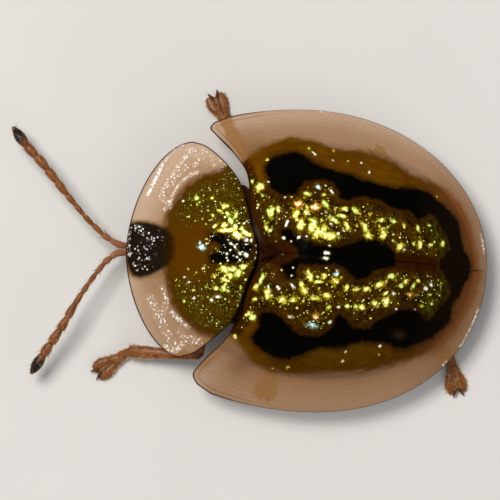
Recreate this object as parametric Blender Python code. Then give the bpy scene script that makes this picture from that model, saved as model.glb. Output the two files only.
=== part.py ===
"""Tortoise beetle, five millimetres long, standing on six feet with one front leg stretched ahead.

The head points to -X, the beetle's right side is +Y and the floor is z = 0. Sizes and places
are in millimetres, and become metres when a mesh is made.
"""

import math

import bmesh
import bpy
from mathutils import Matrix, Vector

MM = 0.001
GAP = 0.02  # clear air between two sub-parts that touch
LEFT, RIGHT = -1, 1

# Wing cases, the left one standing a little further out and forward than the right one
CASE_TIP_X = 3.343
WIDEST_X = 0.85
CASE_HALF_WIDTH = 2.08
CASE_REACH = {LEFT: 2.10, RIGHT: CASE_HALF_WIDTH}  # how far out the rim comes
CASE_BLUNTNESS = {LEFT: 2.13, RIGHT: 2.0}  # of the rear half's outline; 2 is an ellipse
CASE_REAR = CASE_TIP_X - WIDEST_X
CASE_FRONT = 3.09  # half-length of the flank's flatter curve in front of its widest place
DOME_FRONT = 2.43  # the same for the raised disc
DISC_SIDE = 0.78  # share of the way out where the disc meets the flat margin, at the flank
DISC_TAIL = 0.917  # and at the tail
RIM_Z = 0.50
DISC_EDGE_Z = 0.66
CROWN_Z = 2.05
BASE_DROP = 0.33  # share of the disc's height that is lost towards its base
SHELL = 0.09  # thickness of the wing cases and of the pronotum
SUTURE_HALF_GAP = 0.01
FLANK_END = math.radians(23)  # where the flank's curve gives way to the shoulder
SHOULDER = {
    LEFT: ((-0.558, 1.812), (-0.616, 1.710), (-0.598, 1.622), (-0.439, 1.425), (-0.200, 1.175)),
    RIGHT: ((-0.560, 1.822), (-0.606, 1.740), (-0.546, 1.664), (-0.298, 1.445), (-0.082, 1.160)),
}
CASE_BASE = ((-0.004, 0.884), (0.055, 0.553), (0.190, 0.249), (0.370, 0.090), (0.520, SUTURE_HALF_GAP))
CASE_HUB_X = (2.72, 0.74)  # the suture's stretch that the rows of faces fan out from

# Pronotum, held a little askew, so that its left half is the narrower one
SHIELD_FRONT_X = -1.656
SHIELD_WIDEST_X = -0.82
SHIELD_HALF_WIDTH = {LEFT: 1.465, RIGHT: 1.527}
SHIELD_BLUNTNESS = {LEFT: 1.7, RIGHT: 1.8}  # 2 would be an ellipse
SHIELD_REAR = {
    LEFT: ((-0.608, 1.385), (-0.372, 1.185), (-0.160, 0.975), (-0.030, 0.700)),
    RIGHT: ((-0.619, 1.465), (-0.343, 1.244), (-0.135, 0.967), (-0.018, 0.636)),
}
SHIELD_BASE = ((0.050, 0.400), (0.135, 0.160), (0.165, 0.0))
SHIELD_DISC_X = 0.15
SHIELD_DISC_LENGTH = 1.27
SHIELD_DISC_HALF_WIDTH = 1.28
SHIELD_DISC_BLUNTNESS = 2.3
SHIELD_DISC_EDGE_Z = 0.80
SHIELD_RISE = 0.66
SHIELD_FALL = 0.20
SHIELD_HUB = (-0.55, 0.0)

# Trunk
SCUTELLUM_FRONT_X = 0.19
SCUTELLUM_TIP_X = 0.47
SCUTELLUM_HALF_WIDTH = 0.15
BELLY_Z = 0.46
BELLY_RISE = 0.20
TRUNK_HALF_WIDTH = 1.36
PROTHORAX_X = (-0.80, -0.02)
PROTHORAX_HALF_WIDTH = 0.92
THORAX_X = (0.0, 1.17)
ABDOMEN_FRONT_X = 1.19
ABDOMEN_REAR_X = 2.93
STERNITES = 5
STERNITE_STEP = 0.03

# Head; the mouthparts are given from its centre, for one side
HEAD_CENTRE = (-1.20, 0.0, 0.36)
HEAD_HALF = (0.40, 0.39, 0.225)
NECK_X = -0.84
LIP_CENTRE = (-0.22, 0.0, -0.19)
LIP_HALF = (0.13, 0.17, 0.07)
JAW = ((-0.16, 0.10, -0.18), (-0.24, 0.07, -0.26), (-0.30, 0.02, -0.28))
JAW_RADII = (0.06, 0.05, 0.025)
PALP = ((-0.05, 0.16, -0.18), (-0.10, 0.20, -0.27), (-0.20, 0.20, -0.29))
PALP_RADII = (0.035, 0.032, 0.022)
EYE_CENTRE = (-1.22, 0.31, 0.375)
EYE_HALF = (0.15, 0.115, 0.135)

# Antennae: the middle line of the right and of the left one, root first
ANTENNA_RIGHT = (
    (-1.618, 0.032, 0.37),
    (-1.749, 0.046, 0.40),
    (-1.852, 0.088, 0.425),
    (-1.970, 0.158, 0.45),
    (-2.090, 0.256, 0.475),
    (-2.223, 0.372, 0.49),
    (-2.494, 0.656, 0.51),
    (-2.780, 0.976, 0.49),
    (-2.902, 1.112, 0.47),
    (-3.133, 1.338, 0.41),
    (-3.340, 1.587, 0.34),
)
ANTENNA_LEFT = (
    (-1.618, -0.056, 0.37),
    (-1.767, -0.074, 0.405),
    (-1.850, -0.137, 0.43),
    (-1.945, -0.232, 0.455),
    (-2.128, -0.507, 0.49),
    (-2.307, -0.822, 0.50),
    (-2.452, -1.115, 0.48),
    (-2.635, -1.432, 0.42),
    (-2.858, -1.823, 0.33),
)
# Length and half-thickness of the eleven segments, root first
SEGMENTS = (
    (0.30, 0.048),
    (0.13, 0.046),
    (0.20, 0.039),
    (0.18, 0.038),
    (0.19, 0.039),
    (0.21, 0.042),
    (0.235, 0.057),
    (0.22, 0.063),
    (0.25, 0.066),
    (0.21, 0.069),
    (0.35, 0.077),
)
# How thick a segment is, as a share of its own thickness, at places along it
SEGMENT_PROFILE = ((0.0, 0.62), (0.25, 0.88), (0.72, 1.0), (0.93, 0.90))
TIP_PROFILE = ((0.0, 0.60), (0.22, 0.90), (0.5, 1.0), (0.78, 0.72), (0.95, 0.30))

# Legs: coxa, knee, ankle and the way the foot points, for each
LEGS = {
    ("front", LEFT): ((-0.44, -0.36), (-0.55, -1.42, 0.35), (-1.525, -1.405, 0.13), (-0.788, -0.616)),
    ("front", RIGHT): ((-0.44, 0.36), (-0.36, 1.14, 0.36), (-0.92, 0.84, 0.12), (-0.28, -0.96)),
    ("mid", LEFT): ((0.30, -0.36), (-0.10, -1.10, 0.38), (0.50, -1.40, 0.13), (-0.22, -0.975)),
    ("mid", RIGHT): ((0.30, 0.36), (0.05, 1.17, 0.38), (-0.33, 1.745, 0.13), (-0.472, 0.881)),
    ("hind", LEFT): ((1.05, -0.38), (1.90, -0.97, 0.38), (2.91, -1.155, 0.13), (0.278, -0.960)),
    ("hind", RIGHT): ((1.05, 0.38), (0.93, 1.33, 0.38), (1.90, 1.13, 0.13), (-0.42, 0.91)),
}
COXA_HALF = (0.15, 0.17, 0.10)
FEMUR_RADII = (0.075, 0.105, 0.118, 0.108, 0.085, 0.062)
FEMUR_START = 0.04  # from the coxa's centre
KNEE_GAP = 0.075  # from the knee's point back to where the thigh ends
KNEE_DROP = 0.01  # how far below the knee's point the thigh ends
TIBIA_RADII = (0.055, 0.062, 0.070, 0.080, 0.088)
TIBIA_START = 0.02  # from the knee's point
ANKLE_GAP = 0.03  # from the ankle's point back to where the shin ends
TIBIA_BOW = 0.03
# Foot, ahead of the ankle
TOE_START = 0.03
TOE_LENGTHS = (0.13, 0.12)
TOE_HALF_WIDTHS = (0.075, 0.095)
TOE_HALF_HEIGHT = 0.05
TOE_Z = 0.058
TOE_OVERLAP = 0.15  # share of a toe's length that the next one covers
TOE_PROFILE = ((0.0, 0.55), (0.35, 0.85), (0.8, 1.0), (1.0, 0.75))
PAD_START = 0.20
PAD_LENGTH = 0.30
PAD_HALF_WIDTH = 0.155
PAD_CLEFT = 0.13
PAD_HEIGHT = 0.075
PAD_EDGE = 0.03  # thickness of the pad's edge
PAD_CROWN = 0.15  # from the pad's start to its thickest place
SHANK_START = 0.26
SHANK_CREST = (0.38, 0.088)
SHANK_RADII = (0.026, 0.026, 0.038)
CLAW_ROOT = 0.50
CLAW_Z = 0.075
CLAW_LENGTH = 0.13
CLAW_SPREAD = 0.085
CLAW_TIP_Z = 0.022
CLAW_RADII = (0.024, 0.02, 0.008)


def mix(start, end, share):
    return start + (end - start) * share


def curve_through(points, steps):
    """Points of a smooth curve through the given ones, with so many steps between two of them."""
    ends = [2 * points[0] - points[1], *points, 2 * points[-1] - points[-2]]
    curve = []
    for before, start, end, after in zip(ends, ends[1:], ends[2:], ends[3:]):
        for step in range(steps):
            t = step / steps
            pull = (end - before) * t + (2 * before - 5 * start + 4 * end - after) * t**2
            pull += (3 * start - before - 3 * end + after) * t**3
            curve.append(start + pull / 2)
    return [*curve, points[-1]]


def spread_evenly(points, count):
    """The same line with count points at equal distances along it."""
    lengths = [0.0]
    for start, end in zip(points, points[1:]):
        lengths.append(lengths[-1] + (end - start).length)
    even = []
    piece = 0
    for index in range(count):
        goal = lengths[-1] * index / (count - 1)
        while piece < len(points) - 2 and lengths[piece + 1] < goal:
            piece += 1
        share = (goal - lengths[piece]) / (lengths[piece + 1] - lengths[piece])
        even.append(points[piece].lerp(points[piece + 1], share))
    return even


def material(name, colour, roughness, metallic=0.0):
    made = bpy.data.materials.new(name)
    made.use_nodes = True
    shader = made.node_tree.nodes["Principled BSDF"]
    shader.inputs["Base Color"].default_value = (*colour, 1.0)
    shader.inputs["Roughness"].default_value = roughness
    shader.inputs["Metallic"].default_value = metallic
    made.diffuse_color = (*colour, 1.0)
    return made


def solid(name, vertices, faces, finish=None):
    """A mesh object from points in millimetres, with its faces turned outwards."""
    mesh = bpy.data.meshes.new(name)
    mesh.from_pydata([Vector(vertex) * MM for vertex in vertices], [], faces)
    shape = bmesh.new()
    shape.from_mesh(mesh)
    bmesh.ops.recalc_face_normals(shape, faces=shape.faces)
    shape.to_mesh(mesh)
    shape.free()
    mesh.shade_smooth()
    mesh.set_sharp_from_angle(angle=math.radians(50))
    if finish:
        mesh.materials.append(finish)
    made = bpy.data.objects.new(name, mesh)
    bpy.context.collection.objects.link(made)
    return made


def fused(name, pieces, finish):
    """One closed body of several overlapping solids, which are used up."""
    kept = pieces[0]
    others = bpy.data.collections.new(name)
    for piece in pieces[1:]:
        others.objects.link(piece)
    union = kept.modifiers.new("union", "BOOLEAN")
    union.operation = "UNION"
    union.operand_type = "COLLECTION"
    union.collection = others
    union.solver = "EXACT"
    bpy.context.view_layer.update()
    mesh = bpy.data.meshes.new_from_object(kept.evaluated_get(bpy.context.evaluated_depsgraph_get()))
    for piece in pieces:
        bpy.data.objects.remove(piece)
    bpy.data.collections.remove(others)
    keep_largest(mesh)
    mesh.shade_smooth()
    mesh.set_sharp_from_angle(angle=math.radians(50))
    mesh.materials.clear()
    mesh.materials.append(finish)
    made = bpy.data.objects.new(name, mesh)
    bpy.context.collection.objects.link(made)
    return made


def keep_largest(mesh):
    """Drops all but the closed surface with the most faces."""
    shape = bmesh.new()
    shape.from_mesh(mesh)
    left = set(shape.faces)
    islands = []
    while left:
        island = set()
        front = [left.pop()]
        while front:
            face = front.pop()
            island.add(face)
            for edge in face.edges:
                front += [near for near in edge.link_faces if near in left]
                left -= set(edge.link_faces)
        islands.append(island)
    islands.sort(key=len)
    for island in islands[:-1]:
        bmesh.ops.delete(shape, geom=list(island), context="FACES")
    shape.to_mesh(mesh)
    shape.free()


def loft(name, rings, finish=None, tips=None):
    """A closed skin over rings of points, with a point on each end."""
    sides = len(rings[0])
    vertices = [point for ring in rings for point in ring]
    faces = []
    for row in range(len(rings) - 1):
        for side in range(sides):
            a = row * sides + side
            b = row * sides + (side + 1) % sides
            faces += [(a, b, b + sides), (a, b + sides, a + sides)]
    for ring, first, tip in ((rings[0], 0, 0), (rings[-1], (len(rings) - 1) * sides, 1)):
        end = tips[tip] if tips else sum((Vector(point) for point in ring), Vector()) / sides
        vertices.append(end)
        faces += [(first + side, first + (side + 1) % sides, len(vertices) - 1) for side in range(sides)]
    return solid(name, vertices, faces, finish)


def ring_round(centre, along, half_width, half_height, sides, floor=None):
    """An ellipse of points square to a direction, its width level; floor is its lowest z."""
    across = Vector((-along.y, along.x, 0)).normalized()
    upward = along.cross(across).normalized()
    if upward.z < 0:
        upward.negate()
    ring = []
    for side in range(sides):
        angle = math.tau * (side + 0.5) / sides
        point = centre + across * half_width * math.cos(angle) + upward * half_height * math.sin(angle)
        if floor is not None:
            point.z = max(point.z, floor)
        ring.append(point)
    return ring


def limb(name, line, radii, sides, finish=None):
    """A round limb along a smooth line, with bulging ends."""
    rings = []
    for index, centre in enumerate(line):
        along = (line[min(index + 1, len(line) - 1)] - line[max(index - 1, 0)]).normalized()
        rings.append(ring_round(centre, along, radii[index], radii[index], sides))
    first = (line[0] - line[1]).normalized() * radii[0] * 0.5
    last = (line[-1] - line[-2]).normalized() * radii[-1] * 0.5
    return loft(name, rings, finish, (line[0] + first, line[-1] + last))


def ball(name, centre, half, across, rows, finish=None):
    """An ellipsoid, with its poles up and down."""
    rings = []
    for row in range(1, rows):
        angle = math.pi * row / rows
        rings.append(
            [
                (
                    centre[0] + half[0] * math.sin(angle) * math.cos(math.tau * side / across),
                    centre[1] + half[1] * math.sin(angle) * math.sin(math.tau * side / across),
                    centre[2] + half[2] * math.cos(angle),
                )
                for side in range(across)
            ]
        )
    top = (centre[0], centre[1], centre[2] + half[2])
    bottom = (centre[0], centre[1], centre[2] - half[2])
    return loft(name, rings, finish, (top, bottom))


def plate(name, columns, closed, top, underside, finish=None):
    """A curved plate. Each column of plan points runs from the hub to the rim, and a closed
    plate's columns share their first point. Both faces are split into triangles alike."""
    rows = len(columns[0])
    index = {}
    points = []

    def corner(column, row):
        key = (0, 0) if closed and row == 0 else (column % len(columns), row)
        if key not in index:
            index[key] = len(points)
            points.append(columns[key[0]][key[1]])
        return index[key]

    above = []
    count = len(columns) if closed else len(columns) - 1
    for column in range(count):
        for row in range(rows - 1):
            a, b = corner(column, row), corner(column, row + 1)
            c, d = corner(column + 1, row + 1), corner(column + 1, row)
            above.append((a, b, c))
            if a != d:
                above.append((a, c, d))
    edge = [(corner(column, rows - 1), corner(column + 1, rows - 1)) for column in range(count)]
    if not closed:
        edge += [(corner(column + 1, 0), corner(column, 0)) for column in range(count)]
        for row in range(rows - 1):
            edge.append((corner(0, row), corner(0, row + 1)))
            edge.append((corner(count, row + 1), corner(count, row)))
    under = len(points)
    vertices = [(x, y, top(x, y)) for x, y in points]
    vertices += [(x, y, underside(x, y)) for x, y in points]
    faces = above + [(c + under, b + under, a + under) for a, b, c in above]
    for a, b in edge:
        faces += [(b, a, a + under), (b, a + under, b + under)]
    return solid(name, vertices, faces, finish)


def under(height, thickness):
    """The underside of a shell whose outer face is height(x, y)."""
    probe = 0.02

    def surface(x, y):
        along = (height(x + probe, y) - height(x - probe, y)) / (2 * probe)
        across = (height(x, y + probe) - height(x, y - probe)) / (2 * probe)
        return height(x, y) - thickness * min(1.9, math.sqrt(1 + along**2 + across**2))

    return surface


def case_height(x, y):
    """Outer face of the wing cases: a dome, then a flatter margin that slopes out to the rim."""
    along = (x - WIDEST_X) / (CASE_REAR if x > WIDEST_X else DOME_FRONT)
    out = math.hypot(along, y / CASE_HALF_WIDTH)
    tailward = max(0.0, along) / max(out, 1e-6)
    disc = mix(DISC_SIDE, DISC_TAIL, tailward**1.35)
    if out >= disc:
        return mix(DISC_EDGE_Z, RIM_Z, (out - disc) / (1 - disc))
    rise = (1 - (out / disc) ** 2.2) ** 0.8
    base = 1 - BASE_DROP * (max(0.0, WIDEST_X - x) / 0.95) ** 1.5
    return DISC_EDGE_Z + (CROWN_Z - DISC_EDGE_Z) * rise * base


def shield_height(x, y):
    """Outer face of the pronotum: a low disc that climbs to its base, and a wide flat margin."""
    inside = 1 - (abs(x - SHIELD_DISC_X) / SHIELD_DISC_LENGTH) ** SHIELD_DISC_BLUNTNESS
    inside -= (abs(y) / SHIELD_DISC_HALF_WIDTH) ** SHIELD_DISC_BLUNTNESS
    if inside > 0:
        return SHIELD_DISC_EDGE_Z + SHIELD_RISE * inside**0.75
    return SHIELD_DISC_EDGE_Z - SHIELD_FALL * (-inside) ** 0.8


case_underside = under(case_height, SHELL)
shield_underside = under(shield_height, SHELL)


def belly_height(x, y):
    """Underside of the trunk: nearly level in the middle, rising to the flanks and the tail."""
    height = BELLY_Z + BELLY_RISE * (abs(y) / TRUNK_HALF_WIDTH) ** 3
    if x > ABDOMEN_FRONT_X:
        share = (x - ABDOMEN_FRONT_X) / (ABDOMEN_REAR_X - ABDOMEN_FRONT_X)
        height += BELLY_RISE * share**2
        height += STERNITE_STEP * (1 - (share * STERNITES) % 1)
    return height


def fan(rim, hubs, shares):
    """Columns of plan points from each hub to its rim point."""
    return [[hub.lerp(point, share) for share in shares] for hub, point in zip(hubs, rim)]


def half_outline(points, count):
    return spread_evenly(curve_through([Vector(point) for point in points], 4), count)


def mirrored(half):
    """A closed outline from its half on the +Y side, whose ends lie on the middle line."""
    return half + other_half(half)


def other_half(half):
    """The mirror image of a half outline, run backwards, without its two ends."""
    return [Vector((point.x, -point.y)) for point in reversed(half[1:-1])]


def make_wing_case(side, finish):
    rim = []
    reach, power = CASE_REACH[side], 2 / CASE_BLUNTNESS[side]
    start = math.asin((SUTURE_HALF_GAP / reach) ** (1 / power))
    for step in range(17):
        angle = mix(start, math.pi / 2, step / 16)
        back = CASE_REAR * max(0.0, math.cos(angle)) ** power
        rim.append(Vector((WIDEST_X + back, reach * math.sin(angle) ** power)))
    for step in range(1, 5):
        angle = FLANK_END * step / 4
        rim.append(Vector((WIDEST_X - CASE_FRONT * math.sin(angle), reach * math.cos(angle))))
    rim += curve_through([Vector(point) for point in SHOULDER[side] + CASE_BASE], 2)
    last = len(rim) - 1
    hubs = [Vector((mix(*CASE_HUB_X, index / last), SUTURE_HALF_GAP)) for index in range(last + 1)]
    shares = (0, 0.16, 0.32, 0.46, 0.58, 0.67, 0.74, 0.80, 0.88, 1)
    columns = [
        [(point.x, side * point.y) for point in column] for column in fan(rim, hubs, shares)
    ]
    name = "elytron_right" if side == RIGHT else "elytron_left"
    return plate(name, columns, False, case_height, case_underside, finish)


def shield_half(side):
    """One half of the pronotum's outline, front first, with y counted away from the middle."""
    half = []
    power = 2 / SHIELD_BLUNTNESS[side]
    for step in range(11):
        angle = math.pi / 2 * step / 10
        ahead = SHIELD_WIDEST_X - (SHIELD_WIDEST_X - SHIELD_FRONT_X) * math.cos(angle) ** power
        half.append(Vector((ahead, SHIELD_HALF_WIDTH[side] * math.sin(angle) ** power)))
    half[0].y = 0.0
    half += [Vector(point) for point in SHIELD_REAR[side] + SHIELD_BASE]
    return spread_evenly(half, 19)


def make_pronotum(finish):
    rim = shield_half(RIGHT) + other_half(shield_half(LEFT))
    hubs = [Vector(SHIELD_HUB)] * len(rim)
    columns = fan(rim, hubs, (0, 0.18, 0.34, 0.48, 0.60, 0.72, 0.86, 1))
    return plate("pronotum", columns, True, shield_height, shield_underside, finish)


def make_scutellum(finish):
    front = SCUTELLUM_FRONT_X
    corners = (
        (front, 0.0),
        (front - 0.01, 0.6 * SCUTELLUM_HALF_WIDTH),
        (front + 0.01, SCUTELLUM_HALF_WIDTH),
        (mix(front, SCUTELLUM_TIP_X, 0.45), 0.45 * SCUTELLUM_HALF_WIDTH),
        (SCUTELLUM_TIP_X, 0.0),
    )
    rim = mirrored([Vector(corner) for corner in corners])
    hubs = [Vector((mix(front, SCUTELLUM_TIP_X, 0.35), 0.0))] * len(rim)

    def top(x, y):
        return case_height(x, y) - 0.01

    def underside(x, y):
        return case_height(x, y) - SHELL

    return plate("scutellum", fan(rim, hubs, (0, 1)), True, top, underside, finish)


def trunk_top(cover):
    return lambda x, y: cover(x, y) - GAP


def make_prothorax(finish):
    front, rear = PROTHORAX_X
    half = half_outline(
        (
            (front, 0.0),
            (front, 0.34),
            (front + 0.16, 0.66),
            (mix(front, rear, 0.6), PROTHORAX_HALF_WIDTH),
            (rear, 0.90),
            (rear, 0.45),
            (rear, 0.0),
        ),
        13,
    )
    rim = mirrored(half)
    hubs = [Vector((mix(front, rear, 0.5), 0.0))] * len(rim)
    columns = fan(rim, hubs, (0, 0.4, 0.75, 1))
    return plate("prothorax", columns, True, trunk_top(shield_underside), belly_height, finish)


def thorax_top(x, y):
    """Just under the wing cases, the scutellum and, at the front, the pronotum."""
    under_cases = case_underside(x, y) - GAP
    ramp = shield_underside(min(x, SHIELD_DISC_X), y) - GAP
    share = min(1.0, max(0.0, (x - 0.25) / 0.35))
    return mix(min(under_cases, ramp) - 0.02, under_cases, share)


def make_thorax(finish):
    front, rear = THORAX_X
    half = half_outline(
        (
            (front, 0.0),
            (front, 0.50),
            (front, 0.98),
            (front + 0.25, 1.16),
            (mix(front, rear, 0.55), TRUNK_HALF_WIDTH - 0.04),
            (rear, TRUNK_HALF_WIDTH),
            (rear, 0.70),
            (rear, 0.0),
        ),
        15,
    )
    rim = mirrored(half)
    hubs = [Vector((mix(front, rear, 0.5), 0.0))] * len(rim)
    columns = fan(rim, hubs, (0, 0.35, 0.7, 1))
    return plate("thorax", columns, True, thorax_top, belly_height, finish)


def make_abdomen(finish):
    half = [Vector((ABDOMEN_FRONT_X, 0.0)), Vector((ABDOMEN_FRONT_X, 0.7))]
    for step in range(9):
        angle = math.pi / 2 * (1 - step / 8)
        reach = ABDOMEN_REAR_X - ABDOMEN_FRONT_X
        half.append(
            Vector((ABDOMEN_FRONT_X + reach * math.cos(angle), TRUNK_HALF_WIDTH * math.sin(angle)))
        )
    half[-1].y = 0.0
    rim = mirrored(half)
    hubs = [Vector((ABDOMEN_FRONT_X + 0.8, 0.0))] * len(rim)
    columns = fan(rim, hubs, (0, 0.3, 0.6, 0.82, 1))
    return plate("abdomen", columns, True, trunk_top(case_underside), belly_height, finish)


def cut_clear(made, centre, half):
    """Cuts an ellipsoid's hollow into a solid, a gap wider than the piece that sits in it."""
    cutter = ball("cutter", centre, [size + GAP for size in half], 14, 8)
    cut = made.modifiers.new("cut", "BOOLEAN")
    cut.operation = "DIFFERENCE"
    cut.object = cutter
    cut.solver = "EXACT"
    bpy.context.view_layer.update()
    mesh = bpy.data.meshes.new_from_object(made.evaluated_get(bpy.context.evaluated_depsgraph_get()))
    made.modifiers.remove(cut)
    made.data = mesh
    bpy.data.objects.remove(cutter)
    keep_largest(mesh)


def make_head(finish, eye_finish):
    skull = ball("skull", HEAD_CENTRE, HEAD_HALF, 24, 12)
    for vertex in skull.data.vertices:
        vertex.co.x = min(vertex.co.x, NECK_X * MM)
    middle = Vector(HEAD_CENTRE)
    pieces = [skull, ball("lip", middle + Vector(LIP_CENTRE), LIP_HALF, 12, 6)]
    for side in (LEFT, RIGHT):
        for name, route, radii in (("jaw", JAW, JAW_RADII), ("palp", PALP, PALP_RADII)):
            line = [middle + Vector((x, side * y, z)) for x, y, z in route]
            pieces.append(limb(name, line, radii, 6))
    head = fused("head", pieces, finish)
    for side in (LEFT, RIGHT):
        centre = (EYE_CENTRE[0], side * EYE_CENTRE[1], EYE_CENTRE[2])
        cut_clear(head, centre, EYE_HALF)
        name = "eye_right" if side == RIGHT else "eye_left"
        ball(name, centre, EYE_HALF, 14, 8, eye_finish)
    return head


def make_antenna(name, route, finish):
    line = curve_through([Vector(point) for point in route], 8)
    total = sum(length for length, _ in SEGMENTS)
    even = spread_evenly(line, 400)
    centres = []
    radii = []
    start = 0.0
    for number, (length, radius) in enumerate(SEGMENTS):
        last = number == len(SEGMENTS) - 1
        for place, share in TIP_PROFILE if last else SEGMENT_PROFILE:
            centres.append(even[round((start + place * length) / total * (len(even) - 1))])
            radii.append(radius * share)
        start += length
    return limb(name, centres, radii, 8, finish)


def make_thigh(name, coxa, knee, finish):
    """The coxa under the trunk and the femur out to the knee, as one piece."""
    x, y = coxa
    lowest = min(
        belly_height(x + dx * COXA_HALF[0], y + dy * COXA_HALF[1]) for dx in (-1, 0, 1) for dy in (-1, 0, 1)
    )
    centre = Vector((x, y, lowest - GAP - COXA_HALF[2]))
    hip = ball("hip", centre, COXA_HALF, 12, 7)
    reach = knee - centre
    start = centre + reach.normalized() * FEMUR_START
    end = knee - reach.normalized() * KNEE_GAP
    end.z = knee.z - KNEE_DROP
    line = [start.lerp(end, index / (len(FEMUR_RADII) - 1)) for index in range(len(FEMUR_RADII))]
    return fused(name, [hip, limb("thigh", line, FEMUR_RADII, 10)], finish)


def make_shin(name, knee, ankle, finish):
    reach = ankle - knee
    start = knee + reach.normalized() * TIBIA_START
    end = ankle - reach.normalized() * ANKLE_GAP
    count = len(TIBIA_RADII)
    line = []
    for index in range(count):
        share = index / (count - 1)
        point = start.lerp(end, share)
        point.z += TIBIA_BOW * math.sin(math.pi * share)
        line.append(point)
    return limb(name, line, TIBIA_RADII, 8, finish)


def pad_columns():
    """Plan of the two-lobed third segment of a foot, in the foot's own frame, +X ahead."""
    half = (
        (PAD_START, 0.0),
        (PAD_START, 0.05),
        (PAD_START + 0.08, 0.105),
        (PAD_START + 0.18, PAD_HALF_WIDTH),
        (PAD_START + 0.27, 0.145),
        (PAD_START + PAD_LENGTH, 0.085),
        (PAD_START + 0.27, 0.035),
        (PAD_START + PAD_LENGTH - PAD_CLEFT, 0.0),
    )
    outline = curve_through([Vector(point) for point in half], 2)
    outline[0].y = 0.0
    rim = mirrored(outline)
    hubs = [Vector((PAD_START + 0.09, 0.0))] * len(rim)
    return fan(rim, hubs, (0, 0.6, 1))


def pad_height(x, y):
    ahead = (x - PAD_START - PAD_CROWN) / (PAD_LENGTH - PAD_CLEFT)
    across = abs(y) / PAD_HALF_WIDTH
    return mix(PAD_EDGE, PAD_HEIGHT, max(0.0, 1 - 0.6 * ahead**2 - 0.6 * across**2))


def make_toe(ankle, start, length, half_width, first):
    """One of the short segments before the pad. The first one comes down from the ankle."""
    drop = ankle.z * (1 - start / PAD_START) if first else TOE_Z
    rings = []
    for share, spread in TOE_PROFILE:
        centre = Vector((start + share * length, 0, max(TOE_Z, mix(drop, TOE_Z, share))))
        height = TOE_HALF_HEIGHT * (0.6 + 0.4 * spread)
        rings.append(ring_round(centre, Vector((1, 0, 0)), half_width * spread, height, 8))
    return loft("toe", rings)


def make_foot(name, ankle, heading, finish):
    """Five segments and two claws, its sole on the floor, made ahead of the ankle."""
    pieces = [plate("pad", pad_columns(), True, pad_height, lambda x, y: 0.0)]
    start = TOE_START
    for number, (length, half_width) in enumerate(zip(TOE_LENGTHS, TOE_HALF_WIDTHS)):
        pieces.append(make_toe(ankle, start, length, half_width, number == 0))
        start += length * (1 - TOE_OVERLAP)
    crest_x, crest_z = SHANK_CREST
    shank = ((SHANK_START, 0.0, 0.065), (crest_x, 0.0, crest_z), (CLAW_ROOT, 0.0, CLAW_Z))
    pieces.append(limb("shank", [Vector(point) for point in shank], SHANK_RADII, 6))
    for side in (LEFT, RIGHT):
        claw = (
            (CLAW_ROOT - 0.01, 0.012 * side, CLAW_Z),
            (CLAW_ROOT + 0.5 * CLAW_LENGTH, 0.75 * CLAW_SPREAD * side, CLAW_Z - 0.003),
            (CLAW_ROOT + CLAW_LENGTH, CLAW_SPREAD * side, CLAW_TIP_Z),
        )
        pieces.append(limb("claw", [Vector(point) for point in claw], CLAW_RADII, 6))
    turn = Matrix.Rotation(math.atan2(heading[1], heading[0]), 4, "Z")
    place = Matrix.Translation(Vector((ankle.x, ankle.y, 0)) * MM) @ turn
    foot = fused(name, pieces, finish)
    foot.data.transform(place)
    return foot


def make_legs(finish):
    for (place, side), (coxa, knee, ankle, heading) in LEGS.items():
        tail = f"{place}_{'right' if side == RIGHT else 'left'}"
        make_thigh("femur_" + tail, coxa, Vector(knee), finish)
        make_shin("tibia_" + tail, Vector(knee), Vector(ankle), finish)
        make_foot("tarsus_" + tail, Vector(ankle), heading, finish)


def main():
    for old in list(bpy.data.objects):
        bpy.data.objects.remove(old)
    gold = material("gilded_shell", (0.26, 0.22, 0.02), 0.3, 0.6)
    amber = material("amber_leg", (0.32, 0.14, 0.04), 0.4)
    feeler = material("antenna_brown", (0.30, 0.13, 0.05), 0.45)
    black = material("dark_body", (0.02, 0.015, 0.01), 0.35)
    eye = material("eye_black", (0.01, 0.01, 0.01), 0.15)
    red = material("scutellum_brown", (0.10, 0.03, 0.01), 0.3)
    make_pronotum(gold)
    for side in (LEFT, RIGHT):
        make_wing_case(side, gold)
    make_scutellum(red)
    make_prothorax(black)
    make_thorax(black)
    make_abdomen(black)
    make_head(black, eye)
    make_antenna("antenna_right", ANTENNA_RIGHT, feeler)
    make_antenna("antenna_left", ANTENNA_LEFT, feeler)
    make_legs(amber)


main()
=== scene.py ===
"""Looks of the tortoise beetle: its head points to -X, its right side is +Y and the floor is z = 0.

Sizes and places are in millimetres, and become metres when a mesh is made. Markings that follow the
photograph are given by the pixel where they show, and are laid on the shell along the line of sight.
"""

import itertools
import math

import bpy
import numpy as np
from mathutils import Matrix, Vector


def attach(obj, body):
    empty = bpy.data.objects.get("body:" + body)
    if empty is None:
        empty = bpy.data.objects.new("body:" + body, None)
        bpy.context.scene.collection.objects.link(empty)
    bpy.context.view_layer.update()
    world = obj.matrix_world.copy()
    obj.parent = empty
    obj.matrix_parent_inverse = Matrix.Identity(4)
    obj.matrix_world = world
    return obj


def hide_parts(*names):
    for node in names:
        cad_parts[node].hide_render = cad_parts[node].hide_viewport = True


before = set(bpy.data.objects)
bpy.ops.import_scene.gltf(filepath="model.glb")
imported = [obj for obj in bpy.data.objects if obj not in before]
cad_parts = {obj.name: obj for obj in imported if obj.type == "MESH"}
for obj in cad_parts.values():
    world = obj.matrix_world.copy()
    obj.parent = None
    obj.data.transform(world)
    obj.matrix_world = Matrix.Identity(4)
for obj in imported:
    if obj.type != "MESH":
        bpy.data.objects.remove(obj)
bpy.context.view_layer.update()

MM = 0.001
LEFT, RIGHT = -1, 1
SIDE_NAMES = {LEFT: "left", RIGHT: "right"}

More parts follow.
